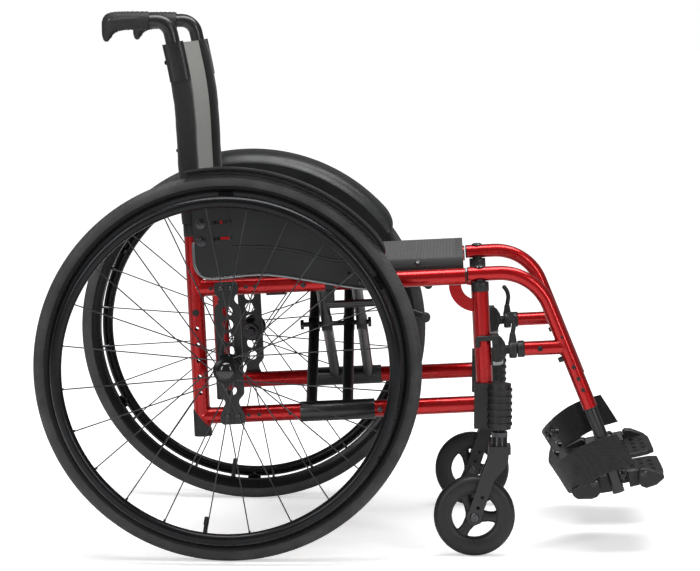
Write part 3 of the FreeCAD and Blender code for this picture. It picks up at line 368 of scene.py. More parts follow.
def rod(bm, start_at, end_at, radius, other=None, sides=32):
    """A round bar, or a cone, between two points."""
    start_at, end_at = Vector(start_at), Vector(end_at)
    run = end_at - start_at
    made = bmesh.ops.create_cone(
        bm, cap_ends=True, segments=sides, radius1=radius, radius2=radius if other is None else other,
        depth=run.length)["verts"]
    turn = run.to_track_quat("Z", "Y").to_matrix().to_4x4()
    bmesh.ops.transform(bm, verts=made, matrix=Matrix.Translation((start_at + end_at) / 2) @ turn)
    return made


def pipe(bm, points, radius, closed=False, sides=8, kind="NURBS"):
    """A round tube along a smooth line, made by a bevelled curve."""
    curve = bpy.data.curves.new("line", "CURVE")
    curve.dimensions = "3D"
    curve.bevel_depth = radius
    curve.bevel_resolution = sides
    curve.resolution_u = 10
    curve.use_fill_caps = not closed
    spline = curve.splines.new(kind)
    spline.points.add(len(points) - 1)
    for spot, point in zip(spline.points, points):
        spot.co = Vector(point).to_4d()
    spline.use_cyclic_u = closed
    if kind == "NURBS":
        spline.order_u = 4
        spline.use_endpoint_u = not closed
    holder = bpy.data.objects.new("line", curve)
    bpy.context.scene.collection.objects.link(holder)
    bpy.context.view_layer.update()
    mesh = bpy.data.meshes.new_from_object(holder.evaluated_get(bpy.context.evaluated_depsgraph_get()))
    bm.from_mesh(mesh)
    bpy.data.objects.remove(holder)
    bpy.data.meshes.remove(mesh)


def loft(bm, rings):
    """Rings of equal count bridged in turn, with a face over each end."""
    rows = [[bm.verts.new(p) for p in ring] for ring in rings]
    count = len(rows[0])
    for one, two in zip(rows, rows[1:]):
        for k in range(count):
            j = (k + 1) % count
            bm.faces.new((one[k], one[j], two[j], two[k]))
    bm.faces.new(rows[0][::-1])
    bm.faces.new(rows[-1])


def smooth_line(points, steps):
    """Points on a Catmull-Rom line through the given ones."""
    found = []
    last = len(points) - 1
    for k in range(last):
        p = [Vector(points[min(max(k + d, 0), last)]) for d in (-1, 0, 1, 2)]
        for step in range(steps):
            t = step / steps
            found.append(0.5 * (2 * p[1] + (p[2] - p[0]) * t
                                + (2 * p[0] - 5 * p[1] + 4 * p[2] - p[3]) * t ** 2
                                + (3 * p[1] - p[0] - 3 * p[2] + p[3]) * t ** 3))
    found.append(Vector(points[-1]))
    return found


def told(step):
    """Print how many pieces a step has made, and how many points they have."""
    print(step + ":", len(MADE), "pieces,", sum(len(piece.data.vertices) for piece in MADE), "points")
    MADE.clear()


# %% [markdown]
# ## Rear wheels
# The tyre, the rim and the handrim are all spun about the axle from a small profile. The tyre's
# profile is a round tread over a straight sidewall, and the rim grips it with two hooked flanges.

# %% Tyres, rims and handrims
tyre_low, tyre_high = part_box("right_tyre")
WHEEL_R = (tyre_high.z - tyre_low.z) / 2 / MM
TRACK = -(tyre_low.y + tyre_high.y) / 2 / MM
RIM_R = 262.0
HANDRIM_Y = TRACK + 38.0
HANDRIM_R = 255.5
SPOKES = 24
VALVE_ANGLE = math.radians(262)


def mirrored(half):
    """A closed profile from one half of it."""
    return half + [(radius, -along) for radius, along in reversed(half)]


for side, way in SIDES:
    y = way * TRACK
    bm = bmesh.new()
    half = [(274.2, 9.6), (276.5, 11.2), (280, 12.3), (285, 12.4), (289, 11.4), (290.2, 10.2),
            (290.4, 9.6), (292.6, 7.6), (294.2, 4.6), (WHEEL_R - 0.1, 1.6)]
    revolve(bm, mirrored(half), (0, y, 0), steps=180)
    make(f"{side}_tyre_tread", bm, TYRE, f"{side}_wheel", TO_WORLD, [f"{side}_tyre"])

    bm = bmesh.new()
    half = [(RIM_R, 5), (263, 8.2), (268, 10.6), (276, 12.3), (277.4, 12.2), (277.2, 11.4), (273.6, 10.4)]
    revolve(bm, mirrored(half), (0, y, 0), steps=180)
    make(f"{side}_rim_hoop", bm, ANODISED, f"{side}_wheel", TO_WORLD, [f"{side}_rim"])

    bm = bmesh.new()
    circle = [(HANDRIM_R + 9 * math.cos(a), 9 * math.sin(a)) for a in (k * math.pi / 10 for k in range(20))]
    revolve(bm, circle, (0, way * HANDRIM_Y, 0), steps=180)
    for k in range(6):
        turn = Matrix.Rotation(math.radians(30 + 60 * k), 4, "Y")
        tab = rod(bm, (HANDRIM_R + 6.5, way * (TRACK + 10), 0),
                  (HANDRIM_R + 2, way * (HANDRIM_Y - 3), 0), 6, 4.5, 16)
        bmesh.ops.transform(bm, verts=tab, matrix=turn)
        foot_y = way * (TRACK + 11.4)
        foot = brick(bm, (RIM_R - 3, foot_y - 1.2, -11), (RIM_R + 6, foot_y + 1.2, 11))
        bmesh.ops.transform(bm, verts=foot, matrix=turn)
    make(f"{side}_handrim_hoop", bm, ANODISED, f"{side}_wheel", TO_WORLD, [f"{side}_handrim"])

    bm = bmesh.new()
    for k in range(SPOKES):
        turn = Matrix.Rotation(math.radians(360 / SPOKES * (k + 0.5)), 4, "Y")
        nipple = rod(bm, (RIM_R + 0.5, y, 0), (RIM_R - 11, y, 0), 2.4, 1.7, 10)
        bmesh.ops.transform(bm, verts=nipple, matrix=turn)
    make(f"{side}_spoke_nipples", bm, ZINC, f"{side}_wheel", TO_WORLD)

    bm = bmesh.new()
    out = Vector((math.cos(VALVE_ANGLE), 0, math.sin(VALVE_ANGLE)))
    middle = Vector((0, y, 0))
    rod(bm, out * (RIM_R + 2) + middle, out * (RIM_R - 22) + middle, 3.4, 2.8, 16)
    rod(bm, out * (RIM_R - 20) + middle, out * (RIM_R - 32) + middle, 4, 3.6, 16)
    make(f"{side}_valve", bm, RUBBER, f"{side}_wheel", TO_WORLD)
told("tyres, rims and handrims")

# %% [markdown]
# The hub is a spool with two drilled flanges. Its middle holds the button of the quick-release
# axle, a glossy dome with a shallow dish for the thumb.

# %% Hubs and quick-release buttons
SPOOL = [(6.6, -28), (13, -28), (15, -26), (20, -25.5), (20, -21.5), (15, -20.5), (12.5, -14),
         (12.5, 10), (15, 16), (20, 17), (20, 21), (16, 22), (14.5, 23.0), (6.6, 23.0)]
DOME = [(0, 0), (4, -0.3), (8, -1.4), (10.8, -3.0), (12.8, -4.8), (13.8, -6.2), (13.8, -7.2),
        (12.8, -7.4), (0, -7.4)]
for side, way in SIDES:
    bm = bmesh.new()
    revolve(bm, [(r, way * a) for r, a in SPOOL], (0, way * TRACK, 0), steps=48)
    make(f"{side}_hub_spool", bm, ANODISED, f"{side}_wheel", TO_WORLD, [f"{side}_hub"])
    low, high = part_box(f"{side}_axle_button")
    outer = max(abs(low.y), abs(high.y)) / MM
    bm = bmesh.new()
    revolve(bm, [(r, way * a) for r, a in DOME], (0, way * outer, 0), steps=48, closed=False)
    make(f"{side}_button_dome", bm, GLOSS, f"{side}_button", TO_WORLD, [f"{side}_axle_button"])
told("hubs and buttons")

# %% [markdown]
# ## Frame tubes
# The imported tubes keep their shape. A small bevel takes the razor edge off every plate and tube
# end, because a real edge always catches a line of light, and a bead of weld goes round each place
# where one tube meets another.

# %% Softer edges on the CAD parts
def soften(node, width):
    """A small bevel on a CAD node, after its loose corners are merged."""
    obj = NODES[node]
    weld = obj.modifiers.new("merged corners", "WELD")
    weld.merge_threshold = 0.00002
    edge = obj.modifiers.new("rounded edges", "BEVEL")
    edge.width = width * MM
    edge.segments = 2
    edge.limit_method = "ANGLE"
    edge.angle_limit = math.radians(42)


SOFT = {
    "axle_receiver": 0.5, "caster_housing": 0.8, "end_caps": 0.5, "rail_receiver": 0.6,
    "brake_body": 0.6, "caster_fork": 0.8, "cross_brace": 0.6, "seat_rail": 0.4, "back_post": 0.3,
}
for side, way in SIDES:
    for name, width in SOFT.items():
        soften(f"{side}_{name}", width)
print("softened", 2 * len(SOFT), "CAD nodes")

# %% Weld beads
TUBE_R = 12.7
HALF = 200.0
SIDE_FACE = HALF + TUBE_R
UPRIGHT, FRONT, LOWER, UPPER = -48.6, 387.8, -80.6, 117.2


def bead(bm, centre, along, across, toward=1, radius=TUBE_R):
    """The seam where a tube running along one axis meets an equal tube running across it."""
    ring = []
    for k in range(24):
        turn = 2 * math.pi * k / 24
        sideways, lift = radius * math.sin(turn), radius * math.cos(turn)
        reach = toward * math.sqrt(max(radius ** 2 - sideways ** 2, 0)) + toward * 0.4
        spot = Vector(centre) + Vector(along) * reach
        ring.append(spot + Vector((0, 1, 0)) * sideways + Vector(across) * lift)
    pipe(bm, ring, 1.3, closed=True, sides=2)


for side, way in SIDES:
    bm = bmesh.new()
    y = way * HALF
    for u, toward in ((UPRIGHT, 1), (FRONT, -1)):
        bead(bm, (u, y, LOWER), (1, 0, 0), (0, 0, 1), toward)
    bead(bm, (UPRIGHT, y, UPPER), (1, 0, 0), (0, 0, 1), 1)
    make(f"{side}_weld_beads", bm, RED, f"{side}_frame")
told("weld beads")

# %% [markdown]
# Socket screws are the same everywhere: a low domed head with a hexagon sunk in it. One function
# makes them all, and each sub-part's screws are joined in one piece.

# %% Screws
def screw(bm, at, axis, radius=4.5, height=3.2):
    """A button head with a hexagon socket, its seat at a point and its axis pointing out."""
    axis = Vector(axis).normalized()
    start_at = Vector(at)
    socket = radius * 0.45
    profile = [(socket, height * 0.45), (socket, height), (radius * 0.55, height * 0.99),
               (radius * 0.86, height * 0.72), (radius, height * 0.3), (radius, -0.2), (0.01, -0.2)]
    revolve(bm, profile + [(0.01, height * 0.45)], start_at, axis, steps=18)


for side, way in SIDES:
    bm = bmesh.new()
    out = (0, way, 0)
    plate_face = way * (SIDE_FACE + 5.2)
    for u, w in ((-7.8, UPPER), (7.8, UPPER), (-8.3, LOWER), (8.3, LOWER)):
        screw(bm, (u, plate_face, w), out)
    screw(bm, (226, way * (SIDE_FACE + 0.1), LOWER), out)
    for w in (UPPER + 73, UPPER + 100):
        revolve(bm, [(7.6, 0.1), (7.6, 1.2), (6.8, 1.5), (0.01, 1.5), (0.01, 0.1)],
                (-34, way * (SIDE_FACE + 4.3), w), out, steps=32)
        screw(bm, (-34, way * (SIDE_FACE + 5.9), w), out, 4.6, 2.0)
    make(f"{side}_frame_screws", bm, ZINC, f"{side}_frame", TO_FRAME, [f"{side}_frame_bolts"])

    bm = bmesh.new()
    plugs = [(u, LOWER) for u in (24, 40, 88)] + [(u, UPPER) for u in (-24, 30, 44)]
    for u, w in plugs:
        rod(bm, (u, way * (SIDE_FACE - 1.2), w), (u, way * (SIDE_FACE + 0.25), w), 3.0, sides=20)
    make(f"{side}_hole_plugs", bm, NYLON, f"{side}_frame")
told("frame screws and plugs")

# %% [markdown]
# A rubber boot closes the lower end of each upright. Its top edge is cut aslant, where it meets the
# lower tube, so it is lofted from rings whose height follows the angle. The axle plate is flat
# stock with seven holes, one of which holds the axle: its outline is half a smooth line and its
# mirror, filled round the holes and pushed through the plate's thickness.

# %% Boots, plugs and axle plates
BOOT_LOW = -111.0
UPRIGHT_HOLE, UPRIGHT_PITCH = 111.8, 24.8
HOLE_R, HOLE_PITCH = 8, 20.3
PLATE_EDGE = smooth_line([
    (14, 0, 126.5), (18.2, 0, 122.5), (18.6, 0, 114), (17.0, 0, 109), (12.6, 0, 103), (12.0, 0, 97),
    (15.2, 0, 92.5), (19.0, 0, 88), (19.6, 0, 80), (19.6, 0, 20), (19.6, 0, -38), (19.0, 0, -47),
    (15.0, 0, -52), (11.2, 0, -57), (11.2, 0, -63), (13.6, 0, -69), (17.6, 0, -76), (19.4, 0, -84),
    (18.8, 0, -90), (14, 0, -93.4)], 4)
for side, way in SIDES:
    y = way * HALF
    bm = bmesh.new()
    rows = []
    for level, radius in ((0.0, 13.9), (0.05, 14.0), (0.95, 13.6), (1.0, 12.75)):
        row = []
        for k in range(40):
            a = 2 * math.pi * k / 40
            height = -84 - 16 * math.cos(a) - BOOT_LOW
            row.append(Vector((UPRIGHT + radius * math.cos(a), y + radius * math.sin(a),
                               BOOT_LOW + height * level)))
        rows.append(row)
    floor_ring = [Vector((UPRIGHT + (p.x - UPRIGHT) * 0.8, y + (p.y - y) * 0.8, BOOT_LOW - 0.1))
                  for p in rows[0]]
    loft(bm, [floor_ring] + rows)
    make(f"{side}_upright_boot", bm, RUBBER, f"{side}_frame", TO_FRAME, (), 40)
    bm = bmesh.new()
    revolve(bm, [(0.01, 1.6), (4.4, 1.4), (5.4, 0.6), (5.4, -0.6), (0.01, -0.6)],
            (UPRIGHT, way * SIDE_FACE, LOWER + UPRIGHT_HOLE + 2 * UPRIGHT_PITCH), (0, way, 0), steps=28)
    make(f"{side}_upright_plug", bm, NYLON, f"{side}_frame")
    outline = PLATE_EDGE + [Vector((-p.x, 0, p.z)) for p in reversed(PLATE_EDGE)]
    bm = bmesh.new()
    inner_y, outer_y = way * (SIDE_FACE + 0.1), way * (SIDE_FACE + 5.1)
    loops = [[bm.verts.new((p.x, inner_y, p.z)) for p in outline]]
    holes = []
    for k in range(-2, 5):
        holes.append([bm.verts.new((HOLE_R * math.cos(a), inner_y, HOLE_PITCH * k + HOLE_R * math.sin(a)))
                      for a in (2 * math.pi * j / 28 for j in range(28))])
    edges = []
    for loop in loops + holes:
        edges += [bm.edges.new((a, b)) for a, b in zip(loop, loop[1:] + loop[:1])]
    faces = [f for f in bmesh.ops.triangle_fill(bm, use_beauty=True, edges=edges)["geom"]
             if isinstance(f, bmesh.types.BMFace)]
    pushed = bmesh.ops.extrude_face_region(bm, geom=faces)["geom"]
    moved = [v for v in pushed if isinstance(v, bmesh.types.BMVert)]
    bmesh.ops.translate(bm, verts=moved, vec=(0, outer_y - inner_y, 0))
    make(f"{side}_axle_plate_cut", bm, POWDER, f"{side}_frame", TO_FRAME, [f"{side}_axle_plate"], 30, 0.7)
told("boots, plugs and axle plates")

# %% [markdown]
# ## Side guards
# The guard is one moulding: a flat panel that turns outward over the tyre as a fender. A rolled
# bead stiffens its free edge; it is black, and its light grey finish is a painted highlight. The
# panel has two raised ribs and three slots. Each slot is a thin glossy black slab on the panel, not a
# hole, and its black is painted shade for the hole. The red frame shows through at the slots and at
# the rear edge, and that is drawn as small red bars.

# %% Side guards
GUARD_IN = SIDE_FACE + 1.3
GUARD_OUT = GUARD_IN + 3.0
ARC = 285.0
REAR_ANGLE, FRONT_ANGLE = math.acos(-46 / ARC), math.radians(33)
NOSE_ANGLE = math.radians(7)
FENDER_STEPS = 100

skirt = smooth_line([
    (-46, 0, 190), (-46, 0, 160), (-43, 0, 146), (-34, 0, 136.5), (-20, 0, 133), (0, 0, 133.2),
    (30, 0, 135.5), (68.4, 0, 134.8), (123.4, 0, 124.6), (172.5, 0, 114), (214.5, 0, 106.5),
    (240, 0, 110), (256, 0, 126)], 6)
arc = [Vector((ARC * math.cos(a), 0, ARC * math.sin(a)))
       for a in (FRONT_ANGLE + (REAR_ANGLE - FRONT_ANGLE) * k / 60 for k in range(61))]

for side, way in SIDES:
    body = f"{side}_frame"
    bm = bmesh.new()
    slab(bm, [p + Vector((0, way * GUARD_IN, 0)) for p in skirt[:0:-1] + [Vector((-46, 0, 200))] + arc[::-1]],
         GUARD_OUT - GUARD_IN, (0, way, 0))
    skin = [(284, 214.0), (285, 215.6), (287.5, 219.5), (291.5, 223.4), (297, 228), (301.3, 235),
            (304, 244.5), (305.4, 262), (306, 284.4)]
    profile = [(p.x, p.y) for p in smooth_line([(r, d, 0) for r, d in skin], 4)]
    under = []
    for k, (r, d) in enumerate(profile):
        before, after = profile[max(k - 1, 0)], profile[min(k + 1, len(profile) - 1)]
        run = Vector((after[0] - before[0], after[1] - before[1])).normalized()
        under.append((r - 2.6 * run.y, d + 2.6 * run.x))
    lip = [(profile[-1][0] - 0.4, 285.0), (under[-1][0] - 0.6, 285.0)]
    outline = profile + lip + under[::-1]
    rings = []
    for k in range(FENDER_STEPS + 1):
        angle = FRONT_ANGLE + (REAR_ANGLE - FRONT_ANGLE) * (k / FENDER_STEPS) ** 1.25
        left = max(0.0, 1 - (angle - FRONT_ANGLE) / NOSE_ANGLE)
        shrink = math.sqrt(max(1 - left * left, 0.02))
        ring = []
        for r, d in outline:
            reach = ARC - 1.2 + (r - ARC + 1.2) * (0.35 + 0.65 * shrink)
            depth = 214 + (d - 214) * (0.3 + 0.7 * shrink)
            ring.append(Vector((reach * math.cos(angle), way * depth, reach * math.sin(angle))))
        rings.append(ring)
    loft(bm, rings)
    make(f"{side}_guard_shell", bm, GUARD, body, TO_FRAME, [f"{side}_side_guard"])

    # The bead is light grey as a painted highlight; the moulding itself is black.
    bm = bmesh.new()
    pipe(bm, [p + Vector((0, way * (GUARD_OUT - 1.0), 0)) for p in skirt[::2]], 3.0, kind="POLY", sides=4)
    make(f"{side}_guard_bead_painted_highlight", bm, BEAD_PAINTED_HIGHLIGHT, body)

    bm = bmesh.new()
    field = smooth_line([(12, 0, 262), (10, 0, 220), (11, 0, 188), (19, 0, 181), (70, 0, 178), (120, 0, 168),
                         (156, 0, 156), (186, 0, 152), (206, 0, 158), (214, 0, 170)], 5)
    pipe(bm, [p + Vector((0, way * (GUARD_OUT - 0.6), 0)) for p in field], 1.5, kind="POLY", sides=2)
    echo = [p + Vector((2, way * (GUARD_OUT - 0.8), -5)) for p in field[18:]]
    pipe(bm, echo, 1.2, kind="POLY", sides=2)
    make(f"{side}_guard_ribs", bm, GUARD, body)

    # Each slot is a thin glossy black slab, not a hole: its black is painted shade for the hole.
    bm = bmesh.new()
    for u, w, length, drop in ((-14, UPPER + 101, 26, 1), (-14, UPPER + 76, 26, 1), (188, 132, 18, -11)):
        a = Vector((u, way * (GUARD_OUT + 0.1), w))
        b = Vector((u + length, way * (GUARD_OUT + 0.1), w + drop))
        lift = Vector((0, 0, 2.6))
        slab(bm, [a - lift, b - lift, b + lift, a + lift], 0.3, (0, way, 0))
        for end in (a, b):
            rod(bm, end, end + Vector((0, way * 0.3, 0)), 2.6, sides=16)
    make(f"{side}_guard_slot_painted_shade", bm, GLOSS, body)
    bm = bmesh.new()
    glint_y = way * (GUARD_OUT + 0.35)
    for u, w, length in ((-4, UPPER + 101.3, 4), (-4, UPPER + 76.5, 14), (-50, UPPER + 71, 7)):
        brick(bm, (u, glint_y - 0.2, w - 2.0), (u + length, glint_y + 0.2, w + 2.0))
    make(f"{side}_slot_glints", bm, RED, body)
    bm = bmesh.new()
    screw(bm, (206, way * (GUARD_OUT + 0.1), 116), (0, way, 0), 3.6, 2.0)
    screw(bm, (118, way * (SIDE_FACE + 0.1), UPPER - 1), (0, way, 0), 4.2, 2.6)
    make(f"{side}_guard_front_screw", bm, ZINC, body)
told("side guards")

# %% [markdown]
# ## Push handles
# The grips are moulded rubber: a barrel with finger ribs on top and below, a rounded nose, a
# collar at the mouth, and a hook that stops the hand from sliding back.

# %% Push grips
# Along the grip, then its top, its bottom and half its width
GRIP = [(0, 13.2, -13.2, 13.2), (3, 14.2, -14.2, 14.2), (20, 14.6, -13.4, 13.6), (38, 14.8, -13.6, 13.4),
        (48, 14.6, -15.4, 13.2), (55, 14.2, -19.0, 12.6), (60, 13.4, -26.0, 11.6), (64, 12.2, -30.6, 10.4),
        (68, 9.6, -31.0, 8.6), (71, 5.6, -28.6, 6.6), (73, 0.0, -22.0, 3.6)]
for side, way in SIDES:
    bm = bmesh.new()
    mouth = Vector((-95.6, way * HALF, 529))
    heading = Vector((-1, 0, 0.0359)).normalized()
    lift = Vector((heading.z, 0, -heading.x))
    rings = []
    for p in smooth_line([(s, t, 0) for s, t, b, h in GRIP], 7):
        along = min(max(p.x, 0), 73)
        k = max(j for j, row in enumerate(GRIP) if row[0] <= along + 1e-6)
        one, two = GRIP[k], GRIP[min(k + 1, len(GRIP) - 1)]
        f = (along - one[0]) / max(two[0] - one[0], 1e-6)
        top, low, half = (one[j] + (two[j] - one[j]) * f for j in (1, 2, 3))
        rib = 0.55 * math.cos(2 * math.pi * along / 4.2) if 3 < along < 62 else 0
        ring = []
        for j in range(32):
            a = 2 * math.pi * j / 32
            c, v = math.cos(a), math.sin(a)
            edge = abs(v) ** 1.5 * rib
            tall = (top - low) / 2 + edge
            spot = mouth + heading * along + lift * ((top + low) / 2 + tall * v)
            ring.append(spot + Vector((0, half * c, 0)))
        rings.append(ring)
    loft(bm, rings)
    for flank in (-1, 1):
        pad = bmesh.ops.create_uvsphere(bm, u_segments=24, v_segments=12, radius=1)["verts"]
        spot = mouth + heading * 36 + Vector((0, flank * 12.0, 1.5))
        swell = Matrix.Diagonal((25, 2.6, 4.2, 1))
        bmesh.ops.transform(bm, verts=pad, matrix=Matrix.Translation(spot) @ swell)
    make(f"{side}_grip_rubber", bm, RUBBER, f"{side}_frame", TO_FRAME, [f"{side}_push_grip"], 50)
told("push grips")

# %% [markdown]
# ## Back upholstery
# The back is one sling between two sleeves that slip down over the posts. The sling's panel hangs
# a little slack between them. A leather patch guards each sleeve where the handle leaves it, and
# two rows of stitches hold every seam.

# %% Sleeves, panel and patches
LOW, LEAN, TOP = 217.0, 414.5, 494.0
HANDLE_U, HANDLE_W = -67.6, 528
LEAN_RUN = Vector((HANDLE_U - UPRIGHT, 0, HANDLE_W - LEAN)).normalized()
RING_POINTS, SQUARENESS = 28, 3.2


def on_post(w):
    """The post's axis at a height, and the direction across it."""
    slope, reach = LEAN_RUN.x / LEAN_RUN.z, 50.0
    t = min(max(w - LEAN + reach, 0), 2 * reach)
    beyond = max(w - LEAN - reach, 0)
    run = Vector((slope * t / (2 * reach), 0, 1)).normalized()
    return Vector((UPRIGHT + slope * (t * t / (4 * reach) + beyond), 0, w)), Vector((run.z, 0, -run.x))


def sleeve_ring(w, centre_y, half_u, half_y):
    """A rounded square of cloth round the post at a height."""
    middle, across = on_post(w)
    ring = []
    for k in range(RING_POINTS):
        a = 2 * math.pi * k / RING_POINTS
        c, s = math.cos(a), math.sin(a)
        reach_u = half_u * math.copysign(abs(c) ** (2 / SQUARENESS), c)
        reach_y = half_y * math.copysign(abs(s) ** (2 / SQUARENESS), s)
        ring.append(middle + across * reach_u + Vector((0, centre_y + reach_y, 0)))
    return ring


def patch_ring(w, way, half_u, half_y):
    """The outer half of such a ring, where the leather patch lies."""
    ring = sleeve_ring(w, way * HALF, half_u, half_y)
    return [p for k, p in enumerate(ring) if 1 <= (k * way) % RING_POINTS <= 13]


def stitches(bm, points, length=3.0, gap=2.0, thick=0.45):
    """A row of thread dashes along a line."""
    spent, point = 0.0, Vector(points[0])
    dash = True
    for after in points[1:]:
        after = Vector(after)
        while (after - point).length > 0.01:
            want = (length if dash else gap) - spent
            run = min(want, (after - point).length)
            ahead = point + (after - point).normalized() * run
            if dash and run > 0.8:
                rod(bm, point, ahead, thick, sides=5)
            spent += run
            point = ahead
            if spent >= (length if dash else gap) - 1e-6:
                dash, spent = not dash, 0.0
            else:
                break


heights = [LOW + (TOP - LOW) * k / 24 for k in range(25)]
for side, way in SIDES:
    body = f"{side}_frame"
    bm = bmesh.new()
    rings = []
    for k, w in enumerate(heights):
        pinch = 1.0 - 0.05 * math.exp(-(k / 1.2) ** 2) - 0.1 * math.exp(-((k - 24) / 1.0) ** 2)
        ripple = 0.5 * math.sin(w * 0.11 + way) + 0.3 * math.sin(w * 0.31)
        rings.append(sleeve_ring(
            w, way * HALF, 15.6 * pinch + ripple * 0.5, 13.4 * pinch + 0.3 * ripple))
    loft(bm, rings)
    make(f"{side}_back_sleeve", bm, BACK_CLOTH, body, TO_FRAME, (), 60)

    bm = bmesh.new()
    patch_heights = [436 + 58 * k / 10 for k in range(11)]
    outer = [patch_ring(w, way, 16.6, 14.2) for w in patch_heights]
    inner = [patch_ring(w, way, 15.4, 13.2) for w in patch_heights]
    rings = [o + i[::-1] for o, i in zip(outer, inner)]
    loft(bm, rings)
    make(f"{side}_leather_patch", bm, LEATHER, body, TO_FRAME, (), 60)
    bm = bmesh.new()
    edge_lines = []
    for k in (2, -3):
        edge_lines.append([o[k] + Vector((0, way * 0.2, 0)) for o in outer])
    edge_lines.append([p + Vector((0, way * 0.2, 3)) for p in outer[0][1:-1]])
    for line in edge_lines:
        stitches(bm, line)
    seam = [sleeve_ring(w, way * HALF, 15.9, 13.7)[3 * way] for w in heights if w < 432]
    stitches(bm, seam)
    make(f"{side}_patch_thread", bm, EDGE_TAPE, body)

    bm = bmesh.new()
    middle, across = on_post(467)
    screw(bm, middle - across * 15.6 + Vector((0, way * (HALF + 4), 0)), -across, 3.6, 3.4)
    middle, across = on_post(330)
    screw(bm, middle - across * 15.2 + Vector((0, way * (HALF + 2), 0)), -across, 2.6, 2.2)
    make(f"{side}_sleeve_screws", bm, ANODISED, body)

bm = bmesh.new()
half_width = HALF - 12.5
columns = [half_width * (2 * k / 40 - 1) for k in range(41)]
front, back = [], []
for w in heights:
    middle, across = on_post(w)
    tall = (w - LOW) / (TOP - LOW)
    for store, shift in ((front, 2.2), (back, -1.6)):
        line = []
        for y in columns:
            slack = (1 - (y / half_width) ** 2) * (3.4 + 2.0 * math.sin(math.pi * tall))
            ripple = 0.35 * math.sin(y * 0.05 + w * 0.03) * (1 - (y / half_width) ** 4)
            line.append(middle + across * (shift - slack + ripple) + Vector((0, y, 0)))
        store.append(line)
loft(bm, [f + b[::-1] for f, b in zip(front, back)])
panel = make("back_panel", bm, PANEL_CLOTH, "right_frame", TO_FRAME, ["back_sling"], 60)
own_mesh(panel)
told("back upholstery")

# %% [markdown]
# ## Seat
# The seat is a sheet of spacer mesh stretched between the two seat rails. Its sides wrap the rails,
# its front and rear edges are bound in tape, and it sags slightly in the middle. It bends between
# the two halves of the cross brace, which carry the rails.

# %% Seat
RAIL_Y, RAIL_W = 176.0, 129.5
SEAT_REAR, SEAT_FRONT = -30.0, 364.0


def seat_line(u, lift):
    """The sheet's section across the chair at one place along it."""
    rise = 13.6 + lift
    side_wrap = []
    for k in range(7):
        a = math.radians(-35 + 125 * k / 6)
        side_wrap.append((RAIL_Y + (rise - 0.2) * math.cos(a), RAIL_W + (rise - 0.2) * math.sin(a)))
    flat = []
    for k in range(1, 20):
        y = RAIL_Y * (1 - k / 10)
        slack = 1 - 0.25 * math.cos(2 * math.pi * (u - SEAT_REAR) / (SEAT_FRONT - SEAT_REAR))
        sag = 3.0 * (1 - (y / RAIL_Y) ** 2) * slack
        flat.append((y, RAIL_W + rise - 0.2 - sag))
    line = side_wrap + flat + [(-y, w) for y, w in reversed(side_wrap)]
    return [Vector((u, y, w)) for y, w in line]


def hem_line(reach):
    """The tape's section round a rail, at a distance from the rail's axis."""
    turns = [math.radians(-38 + 130 * j / 8) for j in range(9)]
    return [(RAIL_Y + reach * math.cos(a), RAIL_W + reach * math.sin(a)) for a in turns]


bm = bmesh.new()
stations = [SEAT_REAR + (SEAT_FRONT - SEAT_REAR) * k / 36 for k in range(37)]
loft(bm, [seat_line(u, 2.2) + seat_line(u, 0.0)[::-1] for u in stations])
seat = make("seat_sheet", bm, SEAT_MESH, None, TO_FRAME, ["seat_sling"], 50)
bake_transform(seat)

for side, way in SIDES:
    body = "left_brace" if way < 0 else "right_brace"
    bm = bmesh.new()
    rows = []
    for k in range(37):
        u = SEAT_REAR + 1 + (SEAT_FRONT - SEAT_REAR - 2) * k / 36
        rows.append([Vector((u, way * y, w)) for y, w in hem_line(15.95) + hem_line(15.5)[::-1]])
    loft(bm, rows)
    make(f"{side}_seat_hem", bm, EDGE_TAPE, body, TO_FRAME, (), 50)
    bm = bmesh.new()
    for a in (18, 62):
        y, w = RAIL_Y + 16.1 * math.cos(math.radians(a)), RAIL_W + 16.1 * math.sin(math.radians(a))
        stitches(bm, [(SEAT_REAR + 6, way * y, w), (SEAT_FRONT - 6, way * y, w)], 3.4, 2.6, 0.4)
    make(f"{side}_seat_thread", bm, LEATHER, body)
    bm = bmesh.new()
    for u in (40, 165, 294):
        out = Vector((0, way * math.cos(math.radians(40)), math.sin(math.radians(40))))
        screw(bm, Vector((u, way * RAIL_Y, RAIL_W)) + out * 16.0, out, 4.2, 2.0)
    make(f"{side}_seat_screws", bm, ZINC, body)

for name, u in (("front", SEAT_FRONT - 12), ("rear", SEAT_REAR + 0.5)):
    bm = bmesh.new()
    loft(bm, [seat_line(u + d, 2.55)[4:-4] + seat_line(u + d, 2.1)[4:-4][::-1] for d in (0, 11.5)])
    hem = make(f"seat_{name}_hem", bm, EDGE_TAPE, None, TO_FRAME, (), 50)
    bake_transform(hem)
told("seat")

# %% [markdown]
# ## Legrests
# Each hanger is one bent tube with a short latch tube welded behind it. The black latch moulding
# hooks round the frame's front tube, and a thumb lever on a collar frees it.

# %% Hangers
def bent(points, radii, steps=10):
    """Points along straight runs joined by arcs."""
    found = [Vector(points[0])]
    for before, corner, after, radius in zip(points, points[1:], points[2:], radii):
        corner = Vector(corner)
        back, ahead = (Vector(before) - corner).normalized(), (Vector(after) - corner).normalized()
        half = back.angle(ahead) / 2
        reach = radius / math.tan(half)
        centre = corner + (back + ahead).normalized() * (radius / math.sin(half))
        first, last = corner + back * reach - centre, corner + ahead * reach - centre
        whole = first.angle(last)
        for k in range(steps + 1):
            t = k / steps
            swing = first * math.sin((1 - t) * whole) + last * math.sin(t * whole)
            found.append(centre + swing / math.sin(whole))
    found.append(Vector(points[-1]))
    return found


